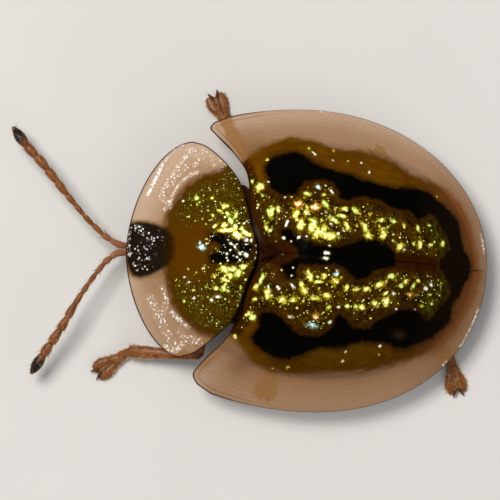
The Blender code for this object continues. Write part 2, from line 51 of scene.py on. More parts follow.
# The photograph and the camera
PHOTO_TURN = math.radians(3.8)  # the body's axis runs down to the right by this
PIXELS_PER_MM = 72.36
PHOTO_NOSE = (126.0, 248.0)  # pixel of the pronotum's front
PHOTO_NOSE_TO_ZERO = 119.8  # pixels from there back to x = 0
CAMERA_ELEVATION = math.radians(87)
CAMERA_DISTANCE = 100.0
CAMERA_AIM = (0.056, 0.086, 0.5)
PHOTO_WIDTH_MM = 6.91
SENSOR_WIDTH = 36.0

# Floor and light, in metres and watts
FLOOR_HALF = 0.6
CAMERA_CLIP = (0.002, 5.0)
SKY_COLOUR, SKY_STRENGTH = (0.93, 0.96, 1.0, 1.0), 0.34
LIGHT_AIM = (0.0, 0.0, 0.0006)
LIGHTS = (  # name, place, size, power and colour
    ("key", (-0.036, 0.028, 0.095), 0.042, 0.105, (1.0, 0.975, 0.94)),
    ("fill", (0.070, -0.070, 0.060), 0.080, 0.030, (0.95, 0.975, 1.0)),
)

SHARP_ANGLE = math.radians(60)  # between faces; a sharper edge isn't smoothed

# Wing cases, the left one standing a little further out and forward than the right one
CASE_TIP_X = 3.343
WIDEST_X = 0.85
CASE_HALF_WIDTH = 2.08
CASE_REACH = {LEFT: 2.10, RIGHT: CASE_HALF_WIDTH}  # how far out the rim comes
CASE_BLUNTNESS = {LEFT: 2.13, RIGHT: 2.0}  # of the rear half's outline; 2 is an ellipse
CASE_REAR = CASE_TIP_X - WIDEST_X
CASE_FRONT = 3.09
DOME_FRONT = 2.43
DISC_SIDE = 0.78
DISC_TAIL = 0.917
RIM_Z = 0.50
DISC_EDGE_Z = 0.66
CROWN_Z = 2.05
BASE_DROP = 0.33
SHELL = 0.09
SUTURE_HALF_GAP = 0.0002
FLANK_END = math.radians(23)
SHOULDER = {
    LEFT: ((-0.558, 1.812), (-0.616, 1.710), (-0.598, 1.622), (-0.439, 1.425), (-0.200, 1.175)),
    RIGHT: ((-0.560, 1.822), (-0.606, 1.740), (-0.546, 1.664), (-0.298, 1.445), (-0.082, 1.160)),
}
CASE_BASE = ((-0.004, 0.884), (0.055, 0.553), (0.190, 0.249), (0.370, 0.090), (0.520, SUTURE_HALF_GAP))
CASE_HUB_X = (2.72, 0.74)
CASE_COLUMNS = 430
EDGE_SHARES = (0.978, 0.987, 0.994, 0.998, 1.0)  # of the way from the hub to the rim
# Rows of punctures
ROWS = 10
ROW_PITCH = 0.178
ROW_REACH = 2.35
ROW_START_X, ROW_END_X = -0.35, 3.1
GLINT_DEPTH = 0.010

# Pronotum, held a little askew, so that its left half is the narrower one
SHIELD_FRONT_X = -1.656
SHIELD_WIDEST_X = -0.82
SHIELD_HALF_WIDTH = {LEFT: 1.465, RIGHT: 1.527}
SHIELD_BLUNTNESS = {LEFT: 1.7, RIGHT: 1.8}
SHIELD_REAR = {
    LEFT: ((-0.608, 1.385), (-0.372, 1.185), (-0.160, 0.975), (-0.030, 0.700)),
    RIGHT: ((-0.619, 1.465), (-0.343, 1.244), (-0.135, 0.967), (-0.018, 0.636)),
}
SHIELD_BASE = ((0.050, 0.400), (0.135, 0.160), (0.165, 0.0))
SHIELD_DISC_X = 0.15
SHIELD_DISC_LENGTH = 1.27
SHIELD_DISC_HALF_WIDTH = 1.28
SHIELD_DISC_BLUNTNESS = 2.3
SHIELD_DISC_EDGE_Z = 0.80
SHIELD_RISE = 0.66
SHIELD_FALL = 0.20
SHIELD_HUB = (-0.55, 0.0)
SHIELD_COLUMNS = 640

# Trunk
SCUTELLUM_FRONT_X = 0.19
SCUTELLUM_TIP_X = 0.47
SCUTELLUM_HALF_WIDTH = 0.15
GAP = 0.02
BELLY_Z = 0.46
BELLY_RISE = 0.20
TRUNK_HALF_WIDTH = 1.36
PROTHORAX_X = (-0.80, -0.02)
PROTHORAX_HALF_WIDTH = 0.92
THORAX_X = (0.0, 1.17)
ABDOMEN_X = (1.19, 2.93)
STERNITES = 5
STERNITE_STEP = 0.03

# Head
HEAD_CENTRE = (-1.20, 0.0, 0.36)
HEAD_HALF = (0.40, 0.39, 0.225)
NECK_X = -0.84
EYE_CENTRE = (-1.22, 0.31, 0.375)
EYE_HALF = (0.15, 0.115, 0.135)
LENSES = 520
LENS_REACH, LENS_RISE = 0.083, 0.0055
# Parts of the right side, counted from the head's centre
FACE_PLATES = (
    ((-0.21, 0.0, -0.17), (0.13, 0.165, 0.065), 24, 36),
    ((-0.285, 0.0, -0.185), (0.06, 0.10, 0.030), 16, 28),
)
JAW = ((-0.15, 0.10, -0.18), (-0.24, 0.075, -0.25), (-0.30, 0.020, -0.275))
JAW_RADII = (0.058, 0.052, 0.042, 0.028, 0.010), (0.05, 0.045, 0.034, 0.022, 0.010)
PALP = ((-0.05, 0.16, -0.18), (-0.10, 0.20, -0.265), (-0.20, 0.20, -0.285))
PALP_PARTS = ((0.0, 0.32, 0.030), (0.30, 0.62, 0.033), (0.60, 1.0, 0.030))  # start, end and radius
SOCKET = ((-0.33, 0.075, 0.005), (-0.395, 0.075, 0.01))

# Antennae
ANTENNA_RIGHT = (
    (-1.618, 0.032, 0.37),
    (-1.749, 0.046, 0.40),
    (-1.852, 0.088, 0.425),
    (-1.970, 0.158, 0.45),
    (-2.090, 0.256, 0.475),
    (-2.223, 0.372, 0.49),
    (-2.494, 0.656, 0.51),
    (-2.780, 0.976, 0.49),
    (-2.902, 1.112, 0.47),
    (-3.133, 1.338, 0.41),
    (-3.340, 1.587, 0.34),
)
ANTENNA_LEFT = (
    (-1.618, -0.056, 0.37),
    (-1.767, -0.074, 0.405),
    (-1.850, -0.137, 0.43),
    (-1.945, -0.232, 0.455),
    (-2.128, -0.507, 0.49),
    (-2.307, -0.822, 0.50),
    (-2.452, -1.115, 0.48),
    (-2.635, -1.432, 0.42),
    (-2.858, -1.823, 0.33),
)
SEGMENTS = (
    (0.30, 0.048),
    (0.13, 0.046),
    (0.20, 0.039),
    (0.18, 0.038),
    (0.19, 0.039),
    (0.21, 0.042),
    (0.235, 0.057),
    (0.22, 0.063),
    (0.25, 0.066),
    (0.21, 0.069),
    (0.35, 0.077),
)
HAIR_RADIUS = 0.0042
FEELER_HAIR_RADIUS = 0.0026
SEGMENT_PROFILE = (0.60, 0.70, 0.80, 0.87, 0.92, 0.96, 0.99, 1.0, 0.98, 0.92, 0.76)
FIRST_PROFILE = (0.60, 0.76, 0.88, 0.95, 1.0, 1.0, 0.98, 0.94, 0.90, 0.84, 0.72)
LAST_PROFILE = (0.58, 0.74, 0.86, 0.95, 1.0, 1.0, 0.94, 0.82, 0.66, 0.46, 0.22)
DOWNY_FROM = 6  # the first segment with dense hairs

# Legs: coxa, knee, ankle and the way the foot points
LEGS = {
    ("front", LEFT): ((-0.44, -0.36), (-0.55, -1.42, 0.35), (-1.525, -1.405, 0.13), (-0.788, -0.616)),
    ("front", RIGHT): ((-0.44, 0.36), (-0.36, 1.14, 0.36), (-0.92, 0.84, 0.12), (-0.28, -0.96)),
    ("mid", LEFT): ((0.30, -0.36), (-0.10, -1.10, 0.38), (0.50, -1.40, 0.13), (-0.22, -0.975)),
    ("mid", RIGHT): ((0.30, 0.36), (0.05, 1.17, 0.38), (-0.33, 1.745, 0.13), (-0.472, 0.881)),
    ("hind", LEFT): ((1.05, -0.38), (1.90, -0.97, 0.38), (2.91, -1.155, 0.13), (0.278, -0.960)),
    ("hind", RIGHT): ((1.05, 0.38), (0.93, 1.33, 0.38), (1.90, 1.13, 0.13), (-0.42, 0.91)),
}
COXA_HALF = (0.15, 0.17, 0.10)
# Half widths and half heights along each part
HIP_RADII = (0.062, 0.13, 0.148, 0.13, 0.062), (0.042, 0.088, 0.098, 0.088, 0.042)
FEMUR_RADII = (0.075, 0.105, 0.118, 0.108, 0.085, 0.070, 0.058)
TIBIA_RADII = (
    (0.050, 0.058, 0.064, 0.070, 0.077, 0.084, 0.088, 0.080),
    (0.050, 0.056, 0.060, 0.064, 0.070, 0.076, 0.080, 0.072),
)
# Parts of a foot that points to +X, counted from the floor under the ankle
TOE_ONE = ((0.08, 0, 0.075), (0.165, 0, 0.058))
TOE_ONE_RADII = (0.045, 0.062, 0.074, 0.070), (0.040, 0.048, 0.050, 0.040)
TOE_TWO = ((0.13, 0, 0.060), (0.20, 0, 0.055), (0.265, 0, 0.052))
TOE_TWO_RADII = (0.052, 0.078, 0.094, 0.085), (0.038, 0.047, 0.048, 0.036)
LOBE = ((0.215, 0.018, 0.045), (0.30, 0.052, 0.044), (0.42, 0.080, 0.040), (0.535, 0.080, 0.032))
LOBE_RADII = (0.030, 0.052, 0.066, 0.071, 0.066, 0.044), (0.030, 0.038, 0.042, 0.040, 0.034, 0.022)
CLAW = ((0.485, 0.014, 0.078), (0.535, 0.045, 0.080), (0.575, 0.064, 0.062), (0.600, 0.068, 0.022))
CLAW_RADII = (0.024, 0.023, 0.020, 0.015, 0.009, 0.004)
CLAW_TOOTH = ((0.52, 0.032, 0.068), (0.545, 0.040, 0.050), (0.558, 0.044, 0.034))
SHANK = ((0.26, 0, 0.070), (0.36, 0, 0.088), (0.49, 0, 0.078))
SHANK_RADII = (0.024, 0.026, 0.030, 0.036, 0.034), (0.024, 0.026, 0.028, 0.032, 0.030)

# Outlines of the markings, in pixels of the photograph
RING = (
    (270, 183), (267, 176), (265, 168), (269, 161), (276, 156), (286, 153), (296, 152), (304, 155),
    (310, 160), (319, 165), (330, 169), (342, 173), (353, 176), (362, 180), (372, 182), (383, 186),
    (396, 188), (410, 188), (422, 190), (431, 194), (437, 200), (444, 205), (450, 211), (455, 217),
    (459, 223), (461, 232), (462, 241), (464, 249), (468, 257), (471, 266), (470, 277), (465, 284),
    (462, 291), (459, 297), (454, 303), (452, 312), (450, 321), (445, 327), (438, 333), (430, 339),
    (420, 343), (411, 346), (403, 349), (396, 348), (391, 344), (383, 342), (372, 342), (362, 341),
    (352, 344), (341, 347), (329, 348), (319, 347), (311, 350), (303, 354), (295, 357), (286, 359),
    (277, 358), (270, 355), (262, 350), (255, 344), (251, 338), (255, 332), (259, 326), (258, 318),
    (261, 312), (268, 312), (276, 314), (283, 318), (288, 324), (294, 331), (302, 335), (311, 336),
    (321, 335), (329, 331), (333, 325), (334, 318), (339, 314), (345, 317), (349, 323), (354, 328),
    (363, 329), (370, 328), (374, 322), (382, 318), (391, 314), (400, 310), (410, 309), (419, 311),
    (424, 318), (429, 320), (434, 314), (439, 307), (446, 301), (450, 294), (449, 285), (446, 277),
    (440, 270), (439, 262), (444, 255), (450, 248), (448, 238), (442, 230), (438, 222), (434, 216),
    (429, 214), (424, 218), (419, 222), (415, 217), (411, 211), (399, 210), (389, 207), (382, 201),
    (375, 199), (364, 197), (357, 196), (352, 200), (346, 201), (340, 198), (338, 190), (334, 183),
    (326, 180), (315, 180), (305, 182), (300, 188), (297, 194), (285, 195), (276, 192), (270, 188),
)
RING_INNER_START = 64  # the first of its inner line's corners
# Across its open front, in millimetres
RING_CLOSURE = ((-0.1, 1.2), (0.2, 0.35), (0.2, -0.35), (-0.1, -1.2))
SUTURE_SPOT = (
    (281, 231), (288, 228), (295, 232), (303, 239), (314, 243), (326, 246), (340, 246), (352, 243),
    (360, 240), (371, 239), (381, 242), (389, 247), (396, 254), (396, 266), (388, 268), (379, 269),
    (372, 273), (366, 279), (357, 280), (350, 275), (344, 268), (334, 263), (322, 265), (310, 265),
    (300, 264), (297, 270), (296, 278), (288, 279), (283, 272), (281, 265), (290, 262), (298, 257),
    (298, 249), (289, 242), (282, 238),
)
SHIELD_SPOT = (
    (209, 237), (212, 233), (221, 234), (229, 237), (239, 239), (248, 241), (252, 246), (251, 254),
    (247, 260), (238, 263), (227, 263), (216, 264), (210, 262), (209, 256), (212, 253), (219, 252),
    (221, 247), (219, 243), (211, 242),
)
SHIELD_DISC = (
    (168, 217), (171, 211), (175, 204), (182, 194), (191, 184), (200, 178), (209, 176), (218, 173),
    (227, 167), (236, 160), (252, 170), (262, 210), (268, 250), (262, 290), (250, 322), (236, 340),
    (222, 338), (210, 334), (200, 330), (191, 323), (182, 313), (176, 305), (171, 292), (169, 280),
    (166, 265), (165, 245), (166, 228),
)
# The wing cases' opaque ground; the clear margin lies outside it
CASE_GROUND = (
    (238, 176), (243, 164), (252, 156), (263, 148), (276, 142), (291, 139), (306, 140), (318, 144),
    (330, 149), (345, 151), (360, 152), (373, 155), (384, 159), (394, 163), (403, 170), (414, 177),
    (433, 184), (446, 191), (457, 203), (465, 217), (470, 232), (473, 248), (477, 262), (478, 277),
    (474, 290), (469, 303), (461, 317), (453, 330), (444, 340), (433, 348), (420, 353), (405, 358),
    (388, 363), (368, 368), (345, 370), (320, 371), (300, 372), (284, 371), (268, 367), (254, 360),
    (246, 350), (238, 340), (226, 329), (218, 318), (222, 280), (226, 200),
)
# Gilded hollows, painted bright as glints: pixel, half length and half width in pixels, slope in degrees
# and tint
GOLD, GREEN, ORANGE, WHITE, CYAN = 0.0, 0.25, 0.5, 0.75, 1.0
CASE_GLINTS = (
    (260, 187, 4.5, 3, 60, GOLD), (270.5, 212, 5, 2.6, 90, GREEN), (278, 209, 3, 1.8, 110, GOLD),
    (266, 227, 4, 1.5, 115, GREEN), (298.5, 204, 3.8, 3.2, 0, ORANGE),
    (315.5, 207, 3.2, 3.0, 0, ORANGE), (306.5, 194, 2.6, 2.3, 0, GOLD), (318, 186.5, 2.0, 1.6, 0, CYAN),
    (332, 192, 2.0, 1.1, -50, WHITE), (325.5, 204, 3.6, 2, -40, GREEN), (344, 209, 3.2, 1.7, 0, GOLD),
    (356, 211, 3.6, 2, -40, GOLD), (296, 214, 4, 2.2, 80, GOLD), (306, 212, 3, 2, 80, GOLD),
    (301.5, 225, 5.5, 3, 80, GOLD), (312.5, 226, 6.5, 3.2, 80, GOLD), (317, 233, 5, 3, 75, GOLD),
    (323, 231, 5, 2.4, 80, GOLD), (330, 236, 6, 3.2, 10, GOLD), (333.5, 220, 5, 2, -20, GREEN),
    (346.5, 226, 3.2, 1.8, -50, GOLD), (365, 228, 6, 2, -62, GOLD), (368.5, 236, 3.4, 2.6, -20, GOLD),
    (342, 216, 4, 1.6, 0, GOLD), (381, 220, 3, 1.7, 35, GREEN), (393, 221, 2.4, 1.8, 0, GREEN),
    (404, 226, 2.5, 1.3, -60, GOLD), (383, 234, 4.2, 2.6, 90, GOLD), (399.5, 247, 3.4, 2.6, 60, GOLD),
    (418, 228, 2.6, 1.2, 110, GREEN), (420, 245, 3, 1.6, 90, GOLD), (431, 245, 2, 1.3, 20, GREEN),
    (443, 244, 2.6, 1.3, 100, GREEN), (287, 223, 3.3, 1.0, 75, WHITE), (283.7, 238, 1.5, 1.1, 0, WHITE),
    (299, 237.2, 2.0, 1.0, 50, WHITE), (361.5, 163, 1.1, 1.0, 0, WHITE),
    (369.5, 172, 1.2, 1.0, 90, WHITE), (315, 154, 1.1, 1.0, 0, WHITE), (261.5, 279, 5, 1.8, 78, GREEN),
    (256.5, 286, 3, 2, 70, GOLD), (268, 294, 5, 2.6, -55, GOLD), (248.5, 314, 3, 2, 40, GOLD),
    (252, 317, 3.4, 2.4, -50, GOLD), (282.5, 300, 3.4, 2.8, -40, GOLD), (293, 300, 2.8, 2.3, 0, GOLD),
    (278, 287, 2.3, 1.0, -40, WHITE), (293, 286, 3.4, 1.0, -40, WHITE), (301.5, 284, 2.6, 2, -60, GOLD),
    (303.5, 290, 4, 2.6, -40, GOLD), (309.5, 276, 4.4, 2.2, -60, GOLD), (315.5, 298, 4, 2, 0, GOLD),
    (323.5, 276, 2.4, 2, 0, GOLD), (318, 282, 3.5, 1.4, 10, GREEN), (326.5, 295, 3.2, 2.2, 15, GOLD),
    (335, 281, 3.2, 2.2, 15, GOLD), (336, 274, 1.8, 1.5, 0, CYAN), (325.5, 258.3, 2.6, 1.2, 0, WHITE),
    (325.4, 252.8, 1.5, 1.5, 0, WHITE), (328.3, 253, 1.4, 1.2, 0, WHITE),
    (338.5, 307, 1.4, 1.2, 0, WHITE), (347, 306, 1.8, 1.8, 0, GREEN), (346.5, 288, 2.4, 1.8, 90, GOLD),
    (356.5, 289, 2.8, 1.6, 25, GOLD), (366, 289, 2.8, 1.9, 25, GOLD), (379, 285, 4, 2, 40, GOLD),
    (385.5, 293, 2.4, 1.3, 50, GOLD), (391.5, 276, 2.8, 2, 20, GREEN), (361.5, 307, 2.4, 2.2, 0, GOLD),
    (375, 303, 2.8, 2.4, 0, GOLD), (386, 302, 3.6, 3, 40, GOLD), (401, 286, 2, 1.6, 0, GREEN),
    (409.5, 294, 1.9, 1.6, 0, ORANGE), (413.5, 286, 2.6, 1.2, 75, GREEN),
    (425.5, 289, 1.8, 1.6, 0, WHITE), (312.5, 325, 4, 2, 0, CYAN), (291, 317, 2.6, 1.0, -15, WHITE),
    (330, 322, 1.8, 1.3, 10, WHITE), (345.5, 352, 1.1, 1.0, 0, WHITE), (380, 346, 1.3, 1.1, 0, WHITE),
    (342.5, 361, 1.1, 1.0, 0, WHITE), (328.5, 307, 1.9, 1.7, 0, GOLD),
)
SHIELD_GLINTS = (
    (196.7, 198, 2.4, 2, 20, GREEN), (212, 198, 1.7, 1.1, 30, GOLD), (225, 206, 3.5, 2.4, 0, GOLD),
    (219.5, 210.5, 2.6, 1.4, 0, GOLD), (228, 214, 2, 2.6, 0, GREEN), (235.5, 215.5, 3, 1.6, 70, GREEN),
    (230.5, 220.5, 3.4, 2, 100, GREEN), (224, 225, 3, 2.2, 30, GOLD),
    (215.5, 225.5, 2.4, 1.3, 45, GOLD), (235.5, 227, 3.2, 2, -60, GOLD), (227, 230, 7, 2.2, 10, GOLD),
    (237, 235, 5, 2.6, -20, GOLD), (243, 231, 4, 2, -60, GREEN), (247.5, 234, 3.6, 2, -20, GOLD),
    (245.8, 239.6, 2.0, 1.6, -20, WHITE), (250.8, 240.2, 1.6, 1.4, 60, WHITE),
    (231.2, 243.6, 1.9, 1.4, -40, WHITE), (235, 247, 1.8, 1.0, -45, WHITE),
    (239.6, 253.6, 1.8, 1.2, -45, WHITE), (245.8, 255, 2.3, 1.8, -30, WHITE),
    (227, 253.8, 1.3, 1.0, 20, WHITE), (201.5, 247, 3.2, 2.2, -20, CYAN), (200, 243, 2, 1, 90, CYAN),
    (256.7, 245, 1.6, 0.9, 70, WHITE), (224.5, 269, 4.4, 2.6, 0, GOLD), (233, 268.5, 3.4, 2, 20, GOLD),
    (243.5, 266.5, 4, 2, 40, GOLD), (238, 272.5, 4.6, 2.8, 60, GREEN),
    (229.5, 275.5, 3, 2.2, -40, GOLD), (225, 279.5, 4.2, 1.3, -12, GOLD),
    (214, 276.5, 2, 1.3, -50, GOLD), (224, 288, 3, 2, 80, GREEN), (216, 288, 1.8, 1.6, 0, GOLD),
    (218, 297, 2, 1.2, 0, WHITE), (211.5, 300, 1.5, 1.4, 0, WHITE), (194, 298, 1.6, 1.2, 30, WHITE),
    (189, 282, 1.2, 1.0, 0, WHITE), (184.5, 277, 1.1, 1.0, 0, WHITE), (183, 201, 1.1, 1.0, 0, WHITE),
    (256.7, 252.2, 1.2, 0.9, 40, WHITE), (255.4, 258, 1.1, 0.7, 70, WHITE),
    (236.8, 244, 1.3, 0.9, 30, WHITE), (230.4, 250, 1.1, 0.9, 0, WHITE),
    (242.5, 251.8, 0.9, 0.7, 0, WHITE), (237, 256.8, 1.1, 0.8, 60, WHITE),
    (240, 260.2, 1.2, 0.7, -45, WHITE), (245.8, 244.2, 1.4, 0.9, 20, WHITE),
    (239, 239.3, 1.0, 0.7, 20, WHITE), (226.8, 257.8, 0.9, 0.7, 0, WHITE),
    (233, 255.5, 0.8, 0.6, 0, WHITE), (228.3, 239.8, 0.8, 0.6, 0, WHITE),
)
# Small pale glints on and beside the black
CASE_SPECKS = (
    (291.3, 241.3), (306.7, 236.1), (282.0, 253.5), (326.7, 267.8), (329.7, 245.6), (336.7, 270.6),
    (291.4, 275.8), (293.3, 267.8), (281.7, 270.0), (278.9, 288.9), (268.3, 181.7), (318.9, 188.3),
    (326.1, 185.6), (331.1, 223.9), (343.9, 230.6), (309.4, 214.4), (257.4, 207.8), (285.0, 197.2),
    (291.7, 197.2), (404.0, 249.5), (396.0, 309.0), (415.0, 309.5), (313.0, 152.0), (333.0, 160.0),
)
# Greenish patches at the ends of the gilded bands
MOSSY_ENDS = (
    (441, 238), (430, 227), (438, 292), (431, 306), (426, 317), (445, 249), (438, 218), (445, 280),
    (441, 303),
)
BROWN_SPOT = (399, 335)  # a paler spot in the black
# What of the head shows through the pronotum, painted on the plate as a dark shade
HEAD_SHADE = (
    (124, 227), (128, 222), (138, 220), (150, 221), (160, 224), (168, 229), (174, 237), (176, 247),
    (174, 258), (168, 266), (160, 272), (150, 277), (140, 279), (132, 277), (128, 271), (125, 262),
)
HEAD_FADE_X = (-1.12, -0.92)  # where it pales towards the disc
# Streaks of glints on the pronotum's clear margin: path in pixels, half width and density
MARGIN_STREAKS = (
    (((148, 195), (151, 188), (155, 180), (159, 172), (162, 165)), 2.5, 0.92),
    (((163, 163), (168, 157), (175, 150), (183, 145)), 1.8, 0.66),
    (((160, 197), (164, 188), (169, 179), (175, 171), (181, 162), (189, 153)), 2.2, 0.80),
    (((165, 209), (169, 203), (173, 193), (179, 184), (188, 176), (197, 172)), 2.3, 0.80),
    (((170, 206), (166, 200), (161, 196)), 3.6, 0.72),
    (((168, 190), (173, 181), (180, 172), (187, 166)), 3.2, 0.52),
    (((194, 165), (199, 162), (200, 157)), 2.4, 0.66),
    (((190, 152), (201, 153), (212, 160), (223, 168)), 6.5, 0.44),
    (((150, 298), (157, 313), (163, 326), (170, 338), (176, 347)), 5.5, 0.55),
    (((166, 347), (171, 352), (177, 350), (182, 344)), 3.2, 0.84),
    (((172, 312), (178, 318), (184, 324), (189, 327)), 2.6, 0.76),
    (((163, 287), (166, 300), (164, 312)), 3.5, 0.50),
    (((180, 332), (188, 339), (199, 341)), 5.0, 0.46),
    (((130, 229), (128, 238), (128, 247), (130, 255)), 2.6, 0.84),
    (((134, 226), (140, 230), (148, 234), (152, 241)), 4.2, 0.56),
    (((134, 262), (138, 270)), 2.6, 0.52),
    (((158, 236), (164, 240), (170, 247)), 2.6, 0.50),
    (((144, 242), (149, 250), (147, 259)), 3.4, 0.50),
    (((136, 246), (138, 256), (142, 266), (150, 272)), 2.8, 0.46),
)
# The same along the rim of the wing cases
CASE_STREAKS = (
    (((481, 234), (483, 243), (484, 253)), 1.6, 0.75),
    (((478, 309), (475, 318), (471, 327), (466, 337), (460, 346)), 1.5, 0.85),
    (((446, 361), (443, 365)), 1.5, 0.7),
    (((424, 382), (424, 383)), 1.5, 0.9),
    (((319, 112), (338, 111)), 1.2, 0.45),
)


def mix(start, end, share):
    return start + (end - start) * share


def smooth(low, high, value):
    share = np.clip((value - low) / (high - low), 0, 1)
    return share * share * (3 - 2 * share)


def smooth_max(first, second, reach):
    return (first + second + np.sqrt((first - second) ** 2 + reach**2)) / 2


def noise(x, y, z, size, seed):
    """Smooth random values from -1 to 1, in lumps of the given size."""
    place = np.stack(np.broadcast_arrays(x, y, z), -1) / size + 17.3 * seed
    cell = np.floor(place).astype(np.int64)
    share = place - cell
    share = share * share * (3 - 2 * share)
    total = 0.0
    for corner in itertools.product((0, 1), repeat=3):
        at = cell + np.array(corner)
        key = at[..., 0] * 73856093 ^ at[..., 1] * 19349663 ^ at[..., 2] * 83492791 ^ seed * 49979687
        key = (key ^ (key >> 13)) * 1274126177 & 0x7FFFFFFF
        value = ((key ^ (key >> 15)) & 0xFFFF) / 32767.5 - 1
        total = total + value * np.prod(np.where(corner, share, 1 - share), axis=-1)
    return total


def curve_through(points, steps):
    """A smooth curve through the given points, with so many steps between two of them."""
    points = np.array(points, float)
    ends = np.vstack([2 * points[0] - points[1], points, 2 * points[-1] - points[-2]])
    t = (np.arange(steps) / steps)[:, None]
    curve = []
    for before, start, end, after in zip(ends, ends[1:], ends[2:], ends[3:]):
        pull = (end - before) * t + (2 * before - 5 * start + 4 * end - after) * t**2
        curve.append(start + (pull + (3 * start - before - 3 * end + after) * t**3) / 2)
    return np.vstack([*curve, points[-1:]])


def lengths_along(points):
    steps = np.linalg.norm(np.diff(points, axis=0), axis=1)
    return np.concatenate([[0.0], np.cumsum(steps)])


def spread_evenly(points, count):
    """The same line with count points at equal distances along it."""
    far = lengths_along(points)
    return read_line(points, far, np.linspace(0, far[-1], count))


def read_line(points, far, at):
    return np.stack([np.interp(at, far, points[:, axis]) for axis in range(points.shape[1])], -1)


def distance_to_line(x, y, line, closed=False):
    best = np.full(np.shape(x), 1e9)
    ends = np.roll(line, -1, axis=0) if closed else line[1:]
    for (ax, ay), (bx, by) in zip(line, ends):
        ex, ey = bx - ax, by - ay
        share = np.clip(((x - ax) * ex + (y - ay) * ey) / (ex * ex + ey * ey + 1e-12), 0, 1)
        best = np.minimum(best, np.hypot(x - ax - share * ex, y - ay - share * ey))
    return best


def depth_inside(x, y, outline):
    """Distance to a closed outline, positive inside it."""
    inside = np.zeros(np.shape(x), bool)
    for (ax, ay), (bx, by) in zip(outline, np.roll(outline, -1, axis=0)):
        if ay != by:
            inside ^= ((ay > y) != (by > y)) & (x < ax + (y - ay) * (bx - ax) / (by - ay))
    return np.where(inside, 1, -1) * distance_to_line(x, y, outline, closed=True)


# The shell's two faces


def case_share(x, y):
    """How far out a place lies, and how far out the disc's edge is there."""
    along = (x - WIDEST_X) / np.where(x > WIDEST_X, CASE_REAR, DOME_FRONT)
    out = np.hypot(along, y / CASE_HALF_WIDTH)
    tailward = np.maximum(0, along) / np.maximum(out, 1e-6)
    return out, mix(DISC_SIDE, DISC_TAIL, tailward**1.35)


def case_height(x, y):
    out, disc = case_share(x, y)
    flat = mix(DISC_EDGE_Z, RIM_Z, np.maximum(-0.5, (out - disc) / (1 - disc)))
    rise = np.maximum(0, 1 - (out / disc) ** 2.2) ** 0.8 - 2 * np.maximum(0, out / disc - 1)
    base = 1 - BASE_DROP * (np.maximum(0, WIDEST_X - x) / 0.95) ** 1.5
    return smooth_max(flat, DISC_EDGE_Z + (CROWN_Z - DISC_EDGE_Z) * rise * base, 0.03)


def soft_power(value, power):
    """A power of a number from 0 to 1 that starts level, where the plain one starts upright."""
    ease = 0.05
    least = ease**power
    return ((value**2 + ease**2) ** (power / 2) - least) / ((1 + ease**2) ** (power / 2) - least)


def shield_height(x, y):
    inside = 1 - (np.abs(x - SHIELD_DISC_X) / SHIELD_DISC_LENGTH) ** SHIELD_DISC_BLUNTNESS
    inside = inside - (np.abs(y) / SHIELD_DISC_HALF_WIDTH) ** SHIELD_DISC_BLUNTNESS
    up = SHIELD_RISE * soft_power(np.maximum(inside, 0), 0.75)
    down = SHIELD_FALL * soft_power(np.maximum(-inside, 0), 0.8)
    return SHIELD_DISC_EDGE_Z + up - down


def steepness(height, x, y):
    probe = 0.02
    along = (height(x + probe, y) - height(x - probe, y)) / (2 * probe)
    across = (height(x, y + probe) - height(x, y - probe)) / (2 * probe)
    return np.sqrt(1 + along**2 + across**2)


def underside(height, thickness):
    return lambda x, y: height(x, y) - thickness * np.minimum(1.9, steepness(height, x, y))


def on_shell(pixels, height):
    """Places on a shell of pixels of the photograph, along the camera's lines of sight."""
    pixels = np.array(pixels, float)
    dx, dy = pixels[:, 0] - PHOTO_NOSE[0], pixels[:, 1] - PHOTO_NOSE[1]
    across = (dx * math.cos(PHOTO_TURN) + dy * math.sin(PHOTO_TURN) - PHOTO_NOSE_TO_ZERO) / PIXELS_PER_MM
    up = (dx * math.sin(PHOTO_TURN) - dy * math.cos(PHOTO_TURN)) / PIXELS_PER_MM
    x, y = across, up
    for _ in range(5):
        lift = height(x, y) - CAMERA_AIM[2]
        near = 1 - lift / CAMERA_DISTANCE
        x = CAMERA_AIM[0] + (across - CAMERA_AIM[0]) * near
        y = (up - CAMERA_AIM[1]) * near - lift * math.cos(CAMERA_ELEVATION)
        y = CAMERA_AIM[1] + y / math.sin(CAMERA_ELEVATION)
    return np.stack([x, y], -1)


# Meshes


class Shape:
    """Points and faces that grow by whole parts, with named values at the points."""

    def __init__(self):
        self.points, self.faces, self.values, self.count = [], [], {}, 0

    def add(self, points, faces, **values):
        points = np.asarray(points, float).reshape(-1, 3)
        for name in set(values) | set(self.values):
            held = self.values.setdefault(name, [np.zeros(self.count)] if self.count else [])
            held.append(np.broadcast_to(values.get(name, 0.0), len(points)).astype(float))
        self.points.append(points)
        self.faces += [tuple(int(corner) + self.count for corner in face) for face in faces]
        self.count += len(points)
        return self

    def make(self, name, finish, slot, *nodes):
        mesh = bpy.data.meshes.new(name)
        mesh.from_pydata((np.vstack(self.points) * MM).tolist(), [], self.faces)
        for key, parts in self.values.items():
            value = mesh.attributes.new(key, "FLOAT", "POINT")
            value.data.foreach_set("value", np.concatenate(parts).astype(np.float32))
        mesh.validate()
        mesh.shade_smooth()
        mesh.set_sharp_from_angle(angle=SHARP_ANGLE)
        mesh.materials.append(finish)
        piece = bpy.data.objects.new(name, mesh)
        bpy.context.scene.collection.objects.link(piece)
        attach(piece, "root")
        if nodes:
            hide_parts(*nodes)
        return piece


def grid_faces(ids, wrap=False):
    """Four-sided faces between the rows and columns of a table of point numbers."""
    right = np.roll(ids, -1, axis=0) if wrap else ids[1:]
    left = ids if wrap else ids[:-1]
    quads = np.stack([left[:, :-1], left[:, 1:], right[:, 1:], right[:, :-1]], -1)
    return quads.reshape(-1, 4).tolist()


